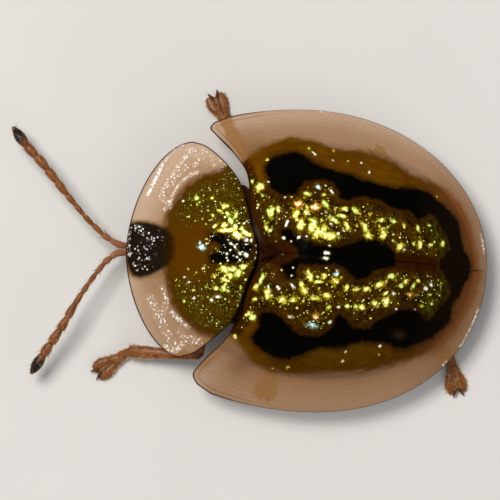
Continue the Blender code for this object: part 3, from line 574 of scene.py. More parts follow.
def zip_up(first, second, first_at, second_at):
    """Triangles between two lines of points, each with its place from 0 to 1 along the line."""
    faces, a, b = [], 0, 0
    while a < len(first) - 1 or b < len(second) - 1:
        if b == len(second) - 1 or (a < len(first) - 1 and first_at[a + 1] <= second_at[b + 1]):
            faces.append((first[a], first[a + 1], second[b]))
            a += 1
        else:
            faces.append((first[a], second[b + 1], second[b]))
            b += 1
    return faces


def edge_round(distance, reach, thickness):
    """How far a plate's faces draw together near its edge."""
    share = np.clip(1 - distance / reach, 0, 1)
    return thickness / 2 * (1 - np.sqrt(1 - share**2))


def shell_plate(hubs, rim, closed, shares, coarse, height, below, outline, relief, values, reach=0.035):
    """A thin curved plate with a finely shaped upper face. Its columns run from the hubs to the rim,
    and the lower face uses only the coarse rows. Both faces meet along the edge."""
    plan = hubs[:, None] + (rim - hubs)[:, None] * shares[None, :, None]
    columns, rows = plan.shape[:2]
    x, y = plan[..., 0], plan[..., 1]
    edge = distance_to_line(x, y, outline, closed=True)
    top, low = height(x, y), below(x, y)
    thick = top - low
    reach = reach(x, y) if callable(reach) else reach
    thin = mix(0.5, 1.0, smooth(0.0, 0.3, edge))
    low = top - thick * thin
    upper = top - edge_round(edge, reach, thick * thin) + relief(x, y, edge)
    lower = low + edge_round(edge, reach, thick * thin)
    shape = Shape()
    upper_ids = np.arange(columns * rows).reshape(columns, rows)
    points = np.stack([x, y, upper], -1)
    meet = (upper + lower) / 2
    points[:, -1, 2] = meet[:, -1]
    inner = coarse[1:-1]
    if not closed:
        points[:, 0, 2] = meet[:, 0]
        points[0, :, 2] = meet[0]
        points[-1, :, 2] = meet[-1]
    faces = []
    if closed:
        upper_ids[:, 0] = 0
        faces += [(0, upper_ids[c, 1], upper_ids[(c + 1) % columns, 1]) for c in range(columns)]
        faces += grid_faces(upper_ids[:, 1:], wrap=True)
        kept = slice(0, columns)
    else:
        faces += grid_faces(upper_ids)
        kept = slice(1, columns - 1)
    lower_points = np.stack([x, y, lower], -1)[kept][:, inner]
    lower_ids = columns * rows + np.arange(lower_points[..., 0].size).reshape(lower_points.shape[:2])
    if closed:
        centre = columns * rows + lower_points[..., 0].size
        table = np.concatenate([lower_ids, upper_ids[:, -1:]], axis=1)
        faces += [face[::-1] for face in grid_faces(table, wrap=True)]
        faces += [(centre, table[(c + 1) % columns, 0], table[c, 0]) for c in range(columns)]
        extra = [[x[0, 0], y[0, 0], lower[0, 0]]]
        plan_under = np.concatenate([lower_points.reshape(-1, 3), extra])
    else:
        table = np.concatenate([upper_ids[kept, :1], lower_ids, upper_ids[kept, -1:]], axis=1)
        faces += [face[::-1] for face in grid_faces(table)]
        at = np.array(shares)[[0, *inner, rows - 1]]
        faces += [face[::-1] for face in zip_up(upper_ids[0], table[0], shares, at)]
        faces += zip_up(upper_ids[-1], table[-1], shares, at)
        plan_under = lower_points.reshape(-1, 3)
    everything = np.concatenate([points.reshape(-1, 3), plan_under])
    is_top = np.concatenate([np.ones(columns * rows), np.zeros(len(plan_under))])
    if closed:
        # The hub's point serves every column, so its copies go.
        used = np.ones(len(everything), bool)
        used[np.arange(1, columns) * rows] = False
        renumber = np.cumsum(used) - 1
        everything, is_top = everything[used], is_top[used]
        faces = [tuple(renumber[corner] for corner in face) for face in faces]
    named = values(everything[:, 0], everything[:, 1])
    if "rim" not in named:
        named["rim"] = distance_to_line(everything[:, 0], everything[:, 1], outline, closed=True)
    return shape.add(everything, faces, top=is_top, **named)


class Hollows:
    """Pits in a shell. Some are gilded inside, with a tint, and painted bright there as glints."""

    def __init__(self, places, long, wide, turn, depth, gilt, tint):
        self.data = np.column_stack(
            np.broadcast_arrays(places[:, 0], places[:, 1], long, wide, turn, depth, gilt, tint)
        )

    @staticmethod
    def joined(*groups):
        whole = Hollows(np.zeros((1, 2)), 1, 1, 0, 0, 0, 0)
        whole.data = np.vstack([group.data for group in groups])
        return whole

    def read(self, x, y):
        """Relief, the gilded share with its painted glint from 0 to 1, its painted glow around and the tint
        of the nearest gilded hollow.
        """
        relief, glow = np.zeros(np.shape(x)), np.zeros(np.shape(x))
        gilding, tint = np.zeros(np.shape(x)), np.zeros(np.shape(x))
        for px, py, long, wide, turn, depth, gilt, hue in self.data:
            near = (np.abs(x - px) < 5 * long) & (np.abs(y - py) < 5 * long)
            dx, dy = x[near] - px, y[near] - py
            u = (dx * math.cos(turn) + dy * math.sin(turn)) / long + 0.45 * noise(dx, dy, px, 0.034, 51)
            v = (dy * math.cos(turn) - dx * math.sin(turn)) / wide + 0.45 * noise(dx, dy, py, 0.034, 52)
            square = u * u + v * v
            rim = np.exp(-((np.sqrt(square) - 1.7) ** 2) * 3)
            relief[near] += depth * (0.14 * rim - np.exp(-square * 0.8))
            # the gilded share, painted bright at its core as a glint, and a wider painted glow
            here = gilt * np.exp(-square * 0.75)
            tint[near] = np.where(here > gilding[near], hue, tint[near])
            gilding[near] = np.maximum(gilding[near], here)
            glow[near] = np.maximum(glow[near], gilt * np.exp(-square * 0.20))
        return relief, gilding, glow, tint


def glint_hollows(glints, height, depth, specks=()):
    table = np.array([*glints, *((*pixel, 0.90, 0.80, 0, WHITE) for pixel in specks)], float)
    turn = np.radians(table[:, 4]) - PHOTO_TURN
    size = table[:, 2:4] / PIXELS_PER_MM
    return Hollows(on_shell(table[:, :2], height), size[:, 0], size[:, 1], turn, depth, 1.0, table[:, 5])


# Finishes


class Tone:
    """A number or colour that one node hands to others. Arithmetic on it adds Math nodes."""

    def __init__(self, finish, socket):
        self.finish, self.socket = finish, socket

    def __add__(self, other):
        return self.finish.math("ADD", self, other)

    def __sub__(self, other):
        return self.finish.math("SUBTRACT", self, other)

    def __rsub__(self, other):
        return self.finish.math("SUBTRACT", other, self)

    def __mul__(self, other):
        return self.finish.math("MULTIPLY", self, other)


class Finish:
    """A material made of nodes around one Principled shader."""

    def __init__(self, name, **plain):
        self.material = bpy.data.materials.new(name)
        self.material.use_nodes = True
        self.nodes, self.links = self.material.node_tree.nodes, self.material.node_tree.links
        self.shader = self.nodes["Principled BSDF"]
        self.place = self.tone(self.new("TexCoord", {}), "Object")
        for socket, value in plain.items():
            self.set(socket.replace("_", " "), value)

    def put(self, socket, value):
        if isinstance(value, Tone):
            self.links.new(value.socket, socket)
        elif isinstance(value, tuple):
            socket.default_value = (*value, 1.0)
        else:
            socket.default_value = value

    def set(self, name, value):
        self.put(self.shader.inputs[name], value)

    def new(self, kind, inputs, **settings):
        """A node with its settings, and its inputs by name or number."""
        node = self.nodes.new("ShaderNode" + kind)
        for name, setting in settings.items():
            setattr(node, name, setting)
        for key, value in inputs.items():
            self.put(node.inputs[key], value)
        return node

    def tone(self, node, output=0):
        return Tone(self, node.outputs[output])

    def value(self, name):
        return self.tone(self.new("Attribute", {}, attribute_name=name), "Fac")

    def math(self, operation, *values, clamp=False):
        return self.tone(self.new("Math", dict(enumerate(values)), operation=operation, use_clamp=clamp))

    def most(self, first, *others):
        for other in others:
            first = self.math("MAXIMUM", first, other)
        return first

    def step(self, value, low, high, start=0.0, end=1.0):
        """A smooth step from start to end as the value goes from low to high."""
        names = ("Value", "From Min", "From Max", "To Min", "To Max")
        inputs = dict(zip(names, (value, low, high, start, end)))
        return self.tone(self.new("MapRange", inputs, interpolation_type="SMOOTHSTEP"))

    def noise(self, size, detail=2.0, rough=0.5):
        """Lumps of so many millimetres, from 0 to 1."""
        inputs = {"Vector": self.place, "Scale": 1 / (size * MM), "Detail": detail, "Roughness": rough}
        return self.tone(self.new("TexNoise", inputs), "Fac")

    def cells(self, size, feature="F1"):
        """Distances in a random pattern of cells, and two random numbers for each cell."""
        node = self.new("TexVoronoi", {"Vector": self.place, "Scale": 1 / (size * MM)}, feature=feature)
        distance = self.tone(node, "Distance")
        if feature != "F1":
            return distance
        parts = self.new("SeparateColor", {0: self.tone(node, "Color")})
        return distance, self.tone(parts, 0), self.tone(parts, 1)

    def specks(self, size, radius, share):
        """Small round specks, one in some of the cells of a random pattern."""
        distance, draw, strength = self.cells(size)
        chosen = self.math("LESS_THAN", draw, share)
        return self.step(distance, radius, radius * 0.4) * (chosen * (strength * 0.65 + 0.35))

    def blend(self, share, first, second, kind="MIX"):
        inputs = {0: share, 6: first, 7: second}
        return self.tone(self.new("Mix", inputs, data_type="RGBA", blend_type=kind, clamp_factor=True), 2)

    def layers(self, colour, *coats):
        """A colour with others laid over it, each given as a share and a colour."""
        for share, coat in coats:
            colour = self.blend(share, colour, coat)
        return colour

    def ramp(self, value, *stops):
        node = self.new("ValToRGB", {0: value})
        elements = node.color_ramp.elements
        while len(elements) < len(stops):
            elements.new(0.5)
        for element, (place, colour) in zip(elements, stops):
            element.position = place
            element.color = (*colour, 1.0)
        return self.tone(node)

    def bump(self, height, distance, strength):
        """Adds fine relief, with a depth in millimetres."""
        inputs = {"Strength": strength, "Distance": distance * MM, "Height": height}
        self.set("Normal", self.tone(self.new("Bump", inputs)))


# Tints of the gilded hollows where they are dim, and of their painted glints where they are bright
DIM_TINTS = (
    (GOLD, (0.58, 0.46, 0.010)),
    (GREEN, (0.40, 0.48, 0.012)),
    (ORANGE, (0.80, 0.26, 0.020)),
    (WHITE, (0.42, 0.40, 0.30)),
    (CYAN, (0.10, 0.36, 0.36)),
)
BRIGHT_TINTS = (
    (GOLD, (1.0, 0.97, 0.38)),
    (GREEN, (0.90, 1.0, 0.42)),
    (ORANGE, (1.0, 0.92, 0.58)),
    (WHITE, (1.0, 1.0, 1.0)),
    (CYAN, (0.86, 1.0, 1.0)),
)
OLIVE = (
    (0.34, (0.056, 0.021, 0.0004)),
    (0.52, (0.080, 0.032, 0.0005)),
    (0.68, (0.098, 0.047, 0.0005)),
)
BROWN = (
    (0.36, (0.008, 0.003, 0.0004)),
    (0.50, (0.034, 0.013, 0.0006)),
    (0.66, (0.085, 0.033, 0.001)),
)
# dim gold at the fading edge of the painted glints and their glow
DARK_GOLD = (0.112, 0.078, 0.001)
# white of the painted glints on the clear margin
PAINTED_GLINT_WHITE = (1.0, 0.99, 0.96)


class ShellFinish(Finish):
    """Clear margin, olive disc, black marks and gilded hollows, from the values at the points, with painted
    glints, painted glow, painted light and painted shade.

    Those that count on the upper face alone are multiplied by "top", which is 0 below."""

    def __init__(self, name):
        super().__init__(name, Specular_IOR_Level=0.0, Coat_Roughness=0.30, IOR=1.5)
        # the dark shade painted where the head shows through the clear plate
        self.top, self.smoke = self.value("top"), self.value("smoke")
        self.fine, self.medium = self.noise(0.045, 3.0), self.noise(0.15, 3.0, 0.6)
        self.granular = self.noise(0.028, 2.0, 0.7)
        self.lumps = self.medium * 0.6 + self.noise(0.5, 2.0) * 0.4
        disc, light = self.gilded(self.ground())
        solid = self.step(
            self.value("disc") + (self.medium - 0.5) * 0.15 + (self.granular - 0.5) * 0.10, -0.075, 0.020
        )
        clear, rim, veil = self.margin()
        whole = self.blend(solid, clear, disc)
        self.set("Base Color", self.layers(whole, (rim * 0.8, (0.040, 0.012, 0.003))))
        self.set("Alpha", self.math("ADD", solid * (1.0 - veil), veil, clamp=True))
        shine = self.step(light, 0.25, 0.7) * solid
        self.set("Metallic", shine * 0.15)
        self.set("Roughness", self.math("SUBTRACT", self.fine * 0.2 + 0.24, shine * 0.08, clamp=True))
        self.set("Coat Weight", (1.0 - solid) * 0.10 + 0.012)
        self.material.surface_render_method = "DITHERED"

    def upper(self, name):
        return self.value(name) * self.top

    def ground(self):
        """The opaque disc: olive, brown where it is gilded, with moss, a red seam and the black marks."""
        ragged = (self.noise(0.10, 5.0, 0.7) - 0.5) * 0.11 + (self.granular - 0.5) * 0.05
        depth = self.value("black") + ragged
        self.black = self.step(depth, -0.026, 0.026) * self.top
        burnt = self.step(depth, -0.095, 0.0) * self.top
        brightness = self.blend(self.upper("lit"), (0.78, 0.78, 0.78), (1.42, 1.26, 1.0))
        olive = self.blend(1.0, self.ramp(self.lumps, *OLIVE), brightness, "MULTIPLY")
        brown = self.ramp(self.medium * 0.6 + self.fine * 0.4, *BROWN)
        amber = self.blend(self.fine, (0.078, 0.022, 0.0006), (0.106, 0.036, 0.001))
        red = self.blend(self.medium, (0.012, 0.0022, 0.0002), (0.042, 0.010, 0.0005))
        tan, moss = self.upper("tan"), self.upper("moss")
        tufts = moss * self.step(self.noise(0.075, 3.0, 0.6), 0.42, 0.60)
        pitch = self.blend(self.noise(0.3), (0.0009, 0.0006, 0.0002), (0.0018, 0.0016, 0.0008))
        return self.layers(
            olive,
            (self.upper("gilt"), brown),
            (self.upper("amber"), amber),
            (self.upper("seam"), red),
            (tan, (0.175, 0.060, 0.018)),
            (moss * 0.85, (0.014, 0.010, 0.0004)),
            (tufts, (0.052, 0.046, 0.0014)),
            (burnt * (0.74 - tan * 0.4), (0.026, 0.008, 0.001)),
            (self.black, self.layers(pitch, (tan * 0.6, (0.013, 0.0055, 0.002)))),
            # painted shade of the head over the disc's front
            (self.smoke * 0.9, (0.009, 0.0045, 0.001)),
            (self.upper("stain"), (0.026, 0.012, 0.006)),
        )

    def gilded(self, ground):
        """The disc with its gilded hollows painted bright as glints and broken up, a painted glow around
        them and finer painted sparkle between them.
        """
        # gilded hollows painted bright as glints, broken into small facets
        glint_grains = self.fine * 1.3 + self.granular * 1.5 - 0.30
        gild_and_glint = self.value("gilding") * glint_grains * (self.cells(0.030)[1] * 0.70 + 0.52)
        # painted glow around the glints, broken by noise
        painted_glow = self.value("glow") * self.step(self.noise(0.055, 4.0, 0.65), 0.40, 0.74)
        sparkle = self.value("sparkle")
        # small painted sparkles of light strewn over the disc
        strewn = self.most(self.specks(0.080, 0.21, 0.66), self.specks(0.056, 0.23, 0.36))
        strewn = self.most(strewn, self.specks(0.120, 0.19, 0.55)) * sparkle
        light = self.math("MULTIPLY", self.most(gild_and_glint, painted_glow * 0.50, strewn), self.top, clamp=True)
        tint = self.value("tint")
        shift = self.step(self.noise(0.16, 1.0), 0.50, 0.62) * 0.22
        tint = tint + shift * self.math("LESS_THAN", tint, 0.1)
        bright = self.step(light, 0.37, 0.72)
        glint_colour = self.blend(bright, self.ramp(tint, *DIM_TINTS), self.ramp(tint, *BRIGHT_TINTS))
        lichen = self.upper("verdant") * self.step(self.granular, 0.53, 0.66)
        # pale painted glint specks, white on the black
        glint_specks = self.most(self.specks(0.038, 0.30, 0.26), self.specks(0.052, 0.27, 0.34))
        glint_specks = glint_specks * sparkle * self.top
        flecks = self.blend(self.value("verdant"), (0.92, 0.86, 0.42), (0.62, 0.86, 0.34))
        disc = self.layers(
            ground,
            (lichen * 0.75, (0.120, 0.150, 0.008)),
            (self.step(light, 0.04, 0.30), self.blend(self.step(light, 0.16, 0.50), DARK_GOLD, glint_colour)),
            (self.step(glint_specks, 0.30, 0.80), self.blend(self.black, flecks, (0.86, 0.90, 0.94))),
        )
        return disc, light

    def margin(self):
        """Colour, dark rim and cover of the clear margin, with its growth lines, painted shade, painted
        glints with a pale painted glow, and painted shade where the head shows through.
        """
        fine, from_rim, shade = self.fine, self.value("rim"), self.value("shade")
        net = self.step(self.cells(0.070, "DISTANCE_TO_EDGE"), 0.0, 0.16, 1.0, 0.0)
        lines = self.math("PINGPONG", from_rim + self.noise(0.12, 3.0) * 0.05, 0.030)
        lines = self.step(lines, 0.018, 0.030) * self.value("grown")
        rim = self.step(from_rim + fine * 0.006, 0.010, 0.026, 1.0, 0.0)
        second = self.step(self.math("ABSOLUTE", from_rim - 0.070), 0.004, 0.014, 1.0, 0.0)
        second = second * self.value("double")
        streak = self.upper("streak")
        # painted glints: pale specks along the streaks and solid bars where strongest, with a pale painted
        # glow
        glint_grains = self.most(self.specks(0.040, 0.42, 0.9), self.specks(0.060, 0.34, 0.8))
        glint_grains = glint_grains * self.step(streak + fine * 0.5, 0.42, 0.78)
        glint_bars = streak * 0.85 + self.noise(0.034, 3.0, 0.65) * 0.9
        glint_grains = self.most(glint_grains, self.step(glint_bars, 1.14, 1.34))
        glint_haze = streak * 0.45 * (1.0 - self.smoke)
        clear = self.layers(
            self.blend(self.lumps, (0.45, 0.230, 0.085), (0.55, 0.300, 0.125)),
            (shade, (0.155, 0.052, 0.008)),
            (lines * 0.18, (0.150, 0.050, 0.010)),
            # painted shade where the dark head shows through
            (self.smoke, self.blend(fine, (0.0030, 0.0020, 0.0008), (0.0160, 0.0070, 0.0014))),
            (self.most(rim, second * 0.6), (0.045, 0.014, 0.004)),
            (glint_haze, (0.74, 0.60, 0.46)),
            (glint_grains, PAINTED_GLINT_WHITE),
        )
        veil = net * 0.03 + self.medium * 0.10 + lines * 0.04 + shade * 0.26
        veil = veil + self.most(rim, second * 0.5) * 0.40 + self.smoke * 0.66 + glint_grains * 0.9 + glint_haze * 0.30
        self.bump(self.noise(0.03, 3.0, 0.6) * 0.6 + net * 0.25, 0.004, 0.6)
        return clear, rim, self.math("ADD", veil, 0.35, clamp=True)


def cuticle_finish(name, dark, light, rough, size=0.10, pit=0.05, flank=None, gloss=1.0):
    """Body cuticle, mottled and finely pitted, and of another colour above 0.6 mm if one is given."""
    f = Finish(name, Specular_IOR_Level=0.10 * gloss, Coat_Weight=0.04 * gloss, Coat_Roughness=0.15)
    lumps = f.noise(size, 4.0, 0.6)
    pits = f.cells(pit)[0]
    colour = f.ramp(lumps, (0.35, dark), (0.68, light))
    colour = f.blend(f.step(pits, 0.32, 0.10), colour, tuple(c * 0.6 for c in dark))
    if flank is not None:
        up = f.tone(f.new("SeparateXYZ", {0: f.place}), 2)
        colour = f.blend(f.step(up, 0.50 * MM, 0.75 * MM), colour, flank)
    f.set("Base Color", colour)
    f.set("Roughness", lumps * 0.25 + rough)
    f.bump(f.step(pits, 0.05, 0.4) + f.noise(pit * 0.5, 2.0) * 0.3, 0.006, 0.7)
    return f.material


def limb_finish(name, pale, deep, dark_end):
    """Amber limbs, paler in the middle of each part. With age they are darker, and below 0 paler."""
    f = Finish(
        name, Specular_IOR_Level=0.16, Coat_Weight=0.10, Coat_Roughness=0.2, Subsurface_Weight=0.15,
        Subsurface_Scale=0.00006,
    )
    lumps, age = f.noise(0.07, 4.0, 0.6), f.value("age")
    colour = f.layers(
        f.blend(f.step(lumps, 0.3, 0.7), deep, pale),
        (f.value("node"), tuple(c * 0.45 for c in deep)),
        (age * f.step(lumps, 0.1, 0.6, 0.8, 1.0), dark_end),
        (f.math("MULTIPLY", age, -1.0, clamp=True), (0.29, 0.112, 0.052)),
    )
    f.set("Base Color", colour)
    f.set("Roughness", lumps * 0.2 + 0.30)
    f.bump(f.noise(0.02, 3.0, 0.6), 0.005, 0.6)
    return f.material


def make_finishes():
    made = {
        "shell": ShellFinish("gilded_shell_look").material,
        "trunk": cuticle_finish(
            "trunk_cuticle", (0.006, 0.004, 0.003), (0.030, 0.014, 0.006), 0.34,
            flank=(0.026, 0.006, 0.0006), gloss=0.5,
        ),
        "head": cuticle_finish(
            "head_cuticle", (0.002, 0.0018, 0.0015), (0.010, 0.006, 0.003), 0.12, 0.08, 0.035
        ),
        "scutellum": cuticle_finish(
            "scutellum_cuticle", (0.010, 0.0018, 0.0002), (0.028, 0.006, 0.0004), 0.34, gloss=0.2,
        ),
        "claw": cuticle_finish("claw_horn", (0.045, 0.014, 0.004), (0.120, 0.040, 0.010), 0.30, 0.05, 0.03),
    }
    eye = Finish("eye_lens", Specular_IOR_Level=0.6, Coat_Weight=0.8, Coat_Roughness=0.06)
    stops = (0.4, (0.003, 0.003, 0.003)), (0.7, (0.014, 0.010, 0.007))
    eye.set("Base Color", eye.ramp(eye.noise(0.09, 3.0), *stops))
    eye.set("Roughness", eye.noise(0.03) * 0.1 + 0.08)
    made["eye"] = eye.material
    made["leg"] = limb_finish(
        "amber_cuticle", (0.29, 0.092, 0.015), (0.150, 0.040, 0.006), (0.075, 0.019, 0.003)
    )
    made["antenna"] = limb_finish(
        "antenna_cuticle", (0.235, 0.074, 0.015), (0.115, 0.032, 0.005), (0.008, 0.004, 0.002)
    )
    hair = Finish("golden_bristle", Roughness=0.45, Specular_IOR_Level=0.5)
    stops = (0.35, (0.30, 0.16, 0.06)), (0.65, (0.62, 0.42, 0.20))
    hair.set("Base Color", hair.ramp(hair.noise(0.15, 2.0), *stops))
    made["bristle"] = hair.material
    return made


# Shell


def hill(*offsets):
    """A smooth hill, 1 high, that falls away with each offset over its width."""
    return np.exp(-sum((offset / width) ** 2 for offset, width in offsets))


def case_outline(side, count):
    """Rim from the tail round the flank to the front of the suture, and the matching hubs."""
    reach, power = CASE_REACH[side], 2 / CASE_BLUNTNESS[side]
    start = math.asin((SUTURE_HALF_GAP / reach) ** (1 / power))
    angle = np.linspace(start, math.pi / 2, 200)
    back = CASE_REAR * np.clip(np.cos(angle), 0, 1) ** power
    rear = np.stack([WIDEST_X + back, reach * np.sin(angle) ** power], -1)
    angle = np.linspace(0, FLANK_END, 60)[1:]
    front = np.stack([WIDEST_X - CASE_FRONT * np.sin(angle), reach * np.cos(angle)], -1)
    line = np.vstack([rear, front, curve_through(SHOULDER[side] + CASE_BASE, 16)])
    rim = spread_evenly(line, count)
    share = np.linspace(0, 1, count)
    hubs = np.stack([mix(*CASE_HUB_X, share), np.full(count, SUTURE_HALF_GAP)], -1)
    return rim * (1, side), hubs * (1, side)


def row_pitch(x):
    """Distance between two rows of punctures, less towards both ends."""
    return ROW_PITCH * np.clip(1 - ((x - WIDEST_X) / ROW_REACH) ** 2, 0.05, 1) ** 0.25


def from_glints(places, glints, height):
    """Distance from each place to the nearest glint."""
    taken = on_shell(np.array(glints)[:, :2], height)
    return np.min(np.hypot(*(places[:, None] - taken[None]).transpose(2, 0, 1)), axis=1)


def depth_in_black(x, y, ring, spot):
    return np.maximum(depth_inside(x, y, ring), depth_inside(x, y, spot))


def ring_inside(ring):
    """The ground that the horseshoe of black encloses, closed across its open front."""
    return np.vstack([ring[RING_INNER_START:], RING_CLOSURE])


def case_rows(side, ring, spot):
    """Punctures in ten rows, many of them gilded and painted bright as glints where the case isn't black.
    """
    random = np.random.default_rng(40 + side)
    places = []
    for row in range(1, ROWS + 1):
        x = ROW_START_X + random.uniform(0, 0.1)
        while x < ROW_END_X:
            here = x + random.normal(0, 0.018)
            places.append((here, side * (row - 0.35) * row_pitch(here) + random.normal(0, 0.014)))
            x += random.uniform(0.125, 0.19)
    places = np.array(places)
    out, disc = case_share(*places.T)
    near = from_glints(places, CASE_GLINTS, case_height)
    places = places[(out < disc * 0.985) & (near > 0.075) & (np.abs(places[:, 1]) > 0.05)]
    x, y = places.T
    count = len(places)
    black = depth_in_black(x, y, ring, spot)
    within = depth_inside(x, y, ring_inside(ring)) > 0.0
    lively = smooth(-0.02, -0.22, black) * within
    gilt = (random.random(count) < 0.85 * lively) * random.uniform(0.40, 1.0, count)
    gilt = np.maximum(gilt, (random.random(count) < 0.10) * (black < -0.03) * 0.7)
    gilt *= np.abs(y) > 0.13
    long = random.uniform(0.018, 0.030, count) * mix(0.8, 1.0, lively)
    wide = long * random.uniform(0.55, 1.0, count)
    tint = random.choice([GOLD, GREEN, WHITE, ORANGE], count, p=[0.55, 0.30, 0.12, 0.03])
    turn = random.uniform(0, math.pi, count)
    depth = mix(0.003, 0.012, lively) * random.uniform(0.7, 1.2, count)
    return Hollows(places, long, wide, turn, depth, gilt, tint)


def laid_streaks(streaks, height):
    """Streaks with their paths on a shell and their half widths in millimetres."""
    return [(on_shell(path, height), half / PIXELS_PER_MM, much) for path, half, much in streaks]


def read_streaks(x, y, streaks):
    """How much painted glint lies at each place."""
    made = np.zeros(np.shape(x))
    for line, half, much in streaks:
        made = np.maximum(made, much * smooth(half * 1.3, half * 0.5, distance_to_line(x, y, line)))
    return made


def make_wing_case(side, finish, ring, spot):
    rim, hubs = case_outline(side, CASE_COLUMNS)
    shares = np.concatenate([[0, 0.006], np.linspace(0.02, 0.965, 118), EDGE_SHARES])
    coarse = [0, 1, *range(6, 118, 9), 120, 122, 123, len(shares) - 1]
    rim_line = spread_evenly(rim, 160)
    outline = np.vstack([rim_line, spread_evenly(hubs[::-1], 12)])
    marked = glint_hollows(CASE_GLINTS, case_height, GLINT_DEPTH, CASE_SPECKS)
    hollows = Hollows.joined(marked, case_rows(side, ring, spot))
    opening = ring_inside(ring)
    ground = on_shell(CASE_GROUND, case_height)
    mossy = on_shell(MOSSY_ENDS, case_height)
    pale = on_shell([BROWN_SPOT], case_height)[0]
    streaks = laid_streaks(CASE_STREAKS, case_height)

    def relief(x, y, edge):
        out, disc = case_share(x, y)
        on_disc = smooth(1.0, 0.93, out / disc)
        black = depth_in_black(x, y, ring, spot)
        lively = smooth(0.05, -0.15, black) * on_disc
        made = hollows.read(x, y)[0] * on_disc * mix(0.25, 1.0, smooth(0.03, -0.04, black))
        made += 0.010 * noise(x, y, 0, 0.42, 3) * on_disc
        fine = 0.0045 * noise(x, y, 0, 0.10, 5) + 0.003 * noise(x, y, 0, 0.05, 6)
        made += fine * mix(0.25, 1.0, lively) * on_disc
        made += 0.030 * hill((x - 0.12, 0.22), (np.abs(y) - 1.18, 0.20))
        made -= 0.005 * hill((y, 0.040)) * on_disc
        made += (0.0022 * noise(x, y, 0, 0.035, 8) + 0.002 * noise(x, y, 0, 0.09, 9)) * (1 - on_disc)
        return made * smooth(0.0, 0.03, edge)

    def values(x, y):
        out, disc = case_share(x, y)
        opaque = depth_inside(x, y, ground)
        black = depth_in_black(x, y, ring, spot)
        within = smooth(-0.03, 0.06, depth_inside(x, y, opening))
        _, gilding, glow, tint = hollows.read(x, y)
        lively = smooth(0.0, -0.16, black) * within * smooth(0.09, 0.15, np.abs(y))
        seam_half = mix(0.15, 0.105, smooth(0.4, 0.9, x))
        seam = smooth(seam_half + 0.05, seam_half - 0.03, np.abs(y)) * smooth(2.9, 2.7, x)
        edge = distance_to_line(x, y, rim_line)
        base = 0.85 * smooth(0.16, 0.07, edge) * smooth(0.50, 0.25, x)
        tail = smooth(2.1, 2.9, x)
        shade = 0.20 + 0.20 * smooth(0.3, -1.6, y) + 0.26 * tail + 0.20 * smooth(0.16, 0.0, -opaque)
        shade += 0.40 * hill((x - 0.02, 0.20), (np.abs(y) - 1.52, 0.16))
        lit = mix(0.45, 1.0, smooth(-0.2, 0.6, y))
        sparkle = 0.95 * lively + 0.22 * (1 - within) * smooth(0.02, -0.06, black)
        return {
            "black": black,
            "lit": np.maximum(lit, 0.95 * hill((x - 0.18, 0.30))),
            "gilt": within,
            "glow": np.clip(glow * within + 0.30 * lively, 0, 1),
            "gilding": gilding,
            "tint": np.where(gilding > 0.02, tint, 0.05),
            "moss": np.clip(sum(0.9 * hill((x - px, 0.12), (y - py, 0.12)) for px, py in mossy), 0, 1),
            "tan": 0.85 * smooth(2.2, 2.9, x) * (1 - within),
            "stain": hill((x - pale[0], 0.075), (y - pale[1], 0.055)),
            "amber": 0.45 * smooth(0.10, 0.0, opaque) * (1 - within) * (1 - tail) * smooth(0.05, 0.40, x),
            "seam": np.maximum(seam, base),
            "sparkle": np.clip(sparkle, 0.0, 1),
            "disc": opaque,
            "rim": edge + 0.012 * smooth(-0.3, 0.3, x),
            "grown": 1.0,
            "streak": read_streaks(x, y, streaks),
            "shade": np.clip(shade, 0, 1),
            "double": 0.5 * smooth(0.35, 0.0, x) * smooth(0.9, 1.2, np.abs(y)) * (out > disc),
        }

    def reach(x, y):
        return mix(0.006, 0.035, smooth(0.03, 0.10, np.abs(y)))

    below = underside(case_height, SHELL)
    shape = shell_plate(
        hubs, rim, False, shares, coarse, case_height, below, outline, relief, values, reach
    )
    name = SIDE_NAMES[side]
    return shape.make("wing_case_" + name, finish, "gilded_shell", "elytron_" + name)


def shield_half(side, count):
    """One half of the pronotum's outline, front first, with y counted away from the middle."""
    angle = np.linspace(0, math.pi / 2, 200)
    power = 2 / SHIELD_BLUNTNESS[side]
    ahead = SHIELD_WIDEST_X - (SHIELD_WIDEST_X - SHIELD_FRONT_X) * np.clip(np.cos(angle), 0, 1) ** power
    front = np.stack([ahead, SHIELD_HALF_WIDTH[side] * np.sin(angle) ** power], -1)
    rear = curve_through([front[-1], *SHIELD_REAR[side], *SHIELD_BASE], 16)
    half = spread_evenly(np.vstack([front[:-1], rear]), count)
    half[0, 1] = half[-1, 1] = 0.0
    return half


def shield_outline(count):
    right, left = (shield_half(side, count // 2 + 1) for side in (RIGHT, LEFT))
    return np.vstack([right, left[-2:0:-1] * (1, -1)])


def shield_grains(spot):
    """Fine punctures strewn over the pronotum's disc, the brighter ones near its base."""
    random = np.random.default_rng(12)
    places = np.column_stack([random.uniform(-1.05, 0.1, 900), random.uniform(-1.15, 1.15, 900)])
    kept = []
    for place in places:
        if all(abs(place[0] - x) + abs(place[1] - y) > 0.075 for x, y in kept):
            kept.append(tuple(place))
    places = np.array(kept)
    places = places[from_glints(places, SHIELD_GLINTS, shield_height) > 0.05]
    count = len(places)
    x, y = places.T
    belt = hill((np.abs(y) - 0.42, 0.26)) * smooth(-1.1, -0.4, x)
    bright = (random.random(count) < 0.45 * belt) * random.uniform(0.5, 1.0, count)
    bright *= depth_inside(x, y, spot) < 0
    long = random.uniform(0.013, 0.022, count)
    tint = random.choice([GOLD, GREEN, WHITE], count, p=[0.5, 0.4, 0.1])
    wide = long * random.uniform(0.6, 1, count)
    return Hollows(places, long, wide, random.uniform(0, 3, count), 0.006, bright, tint)


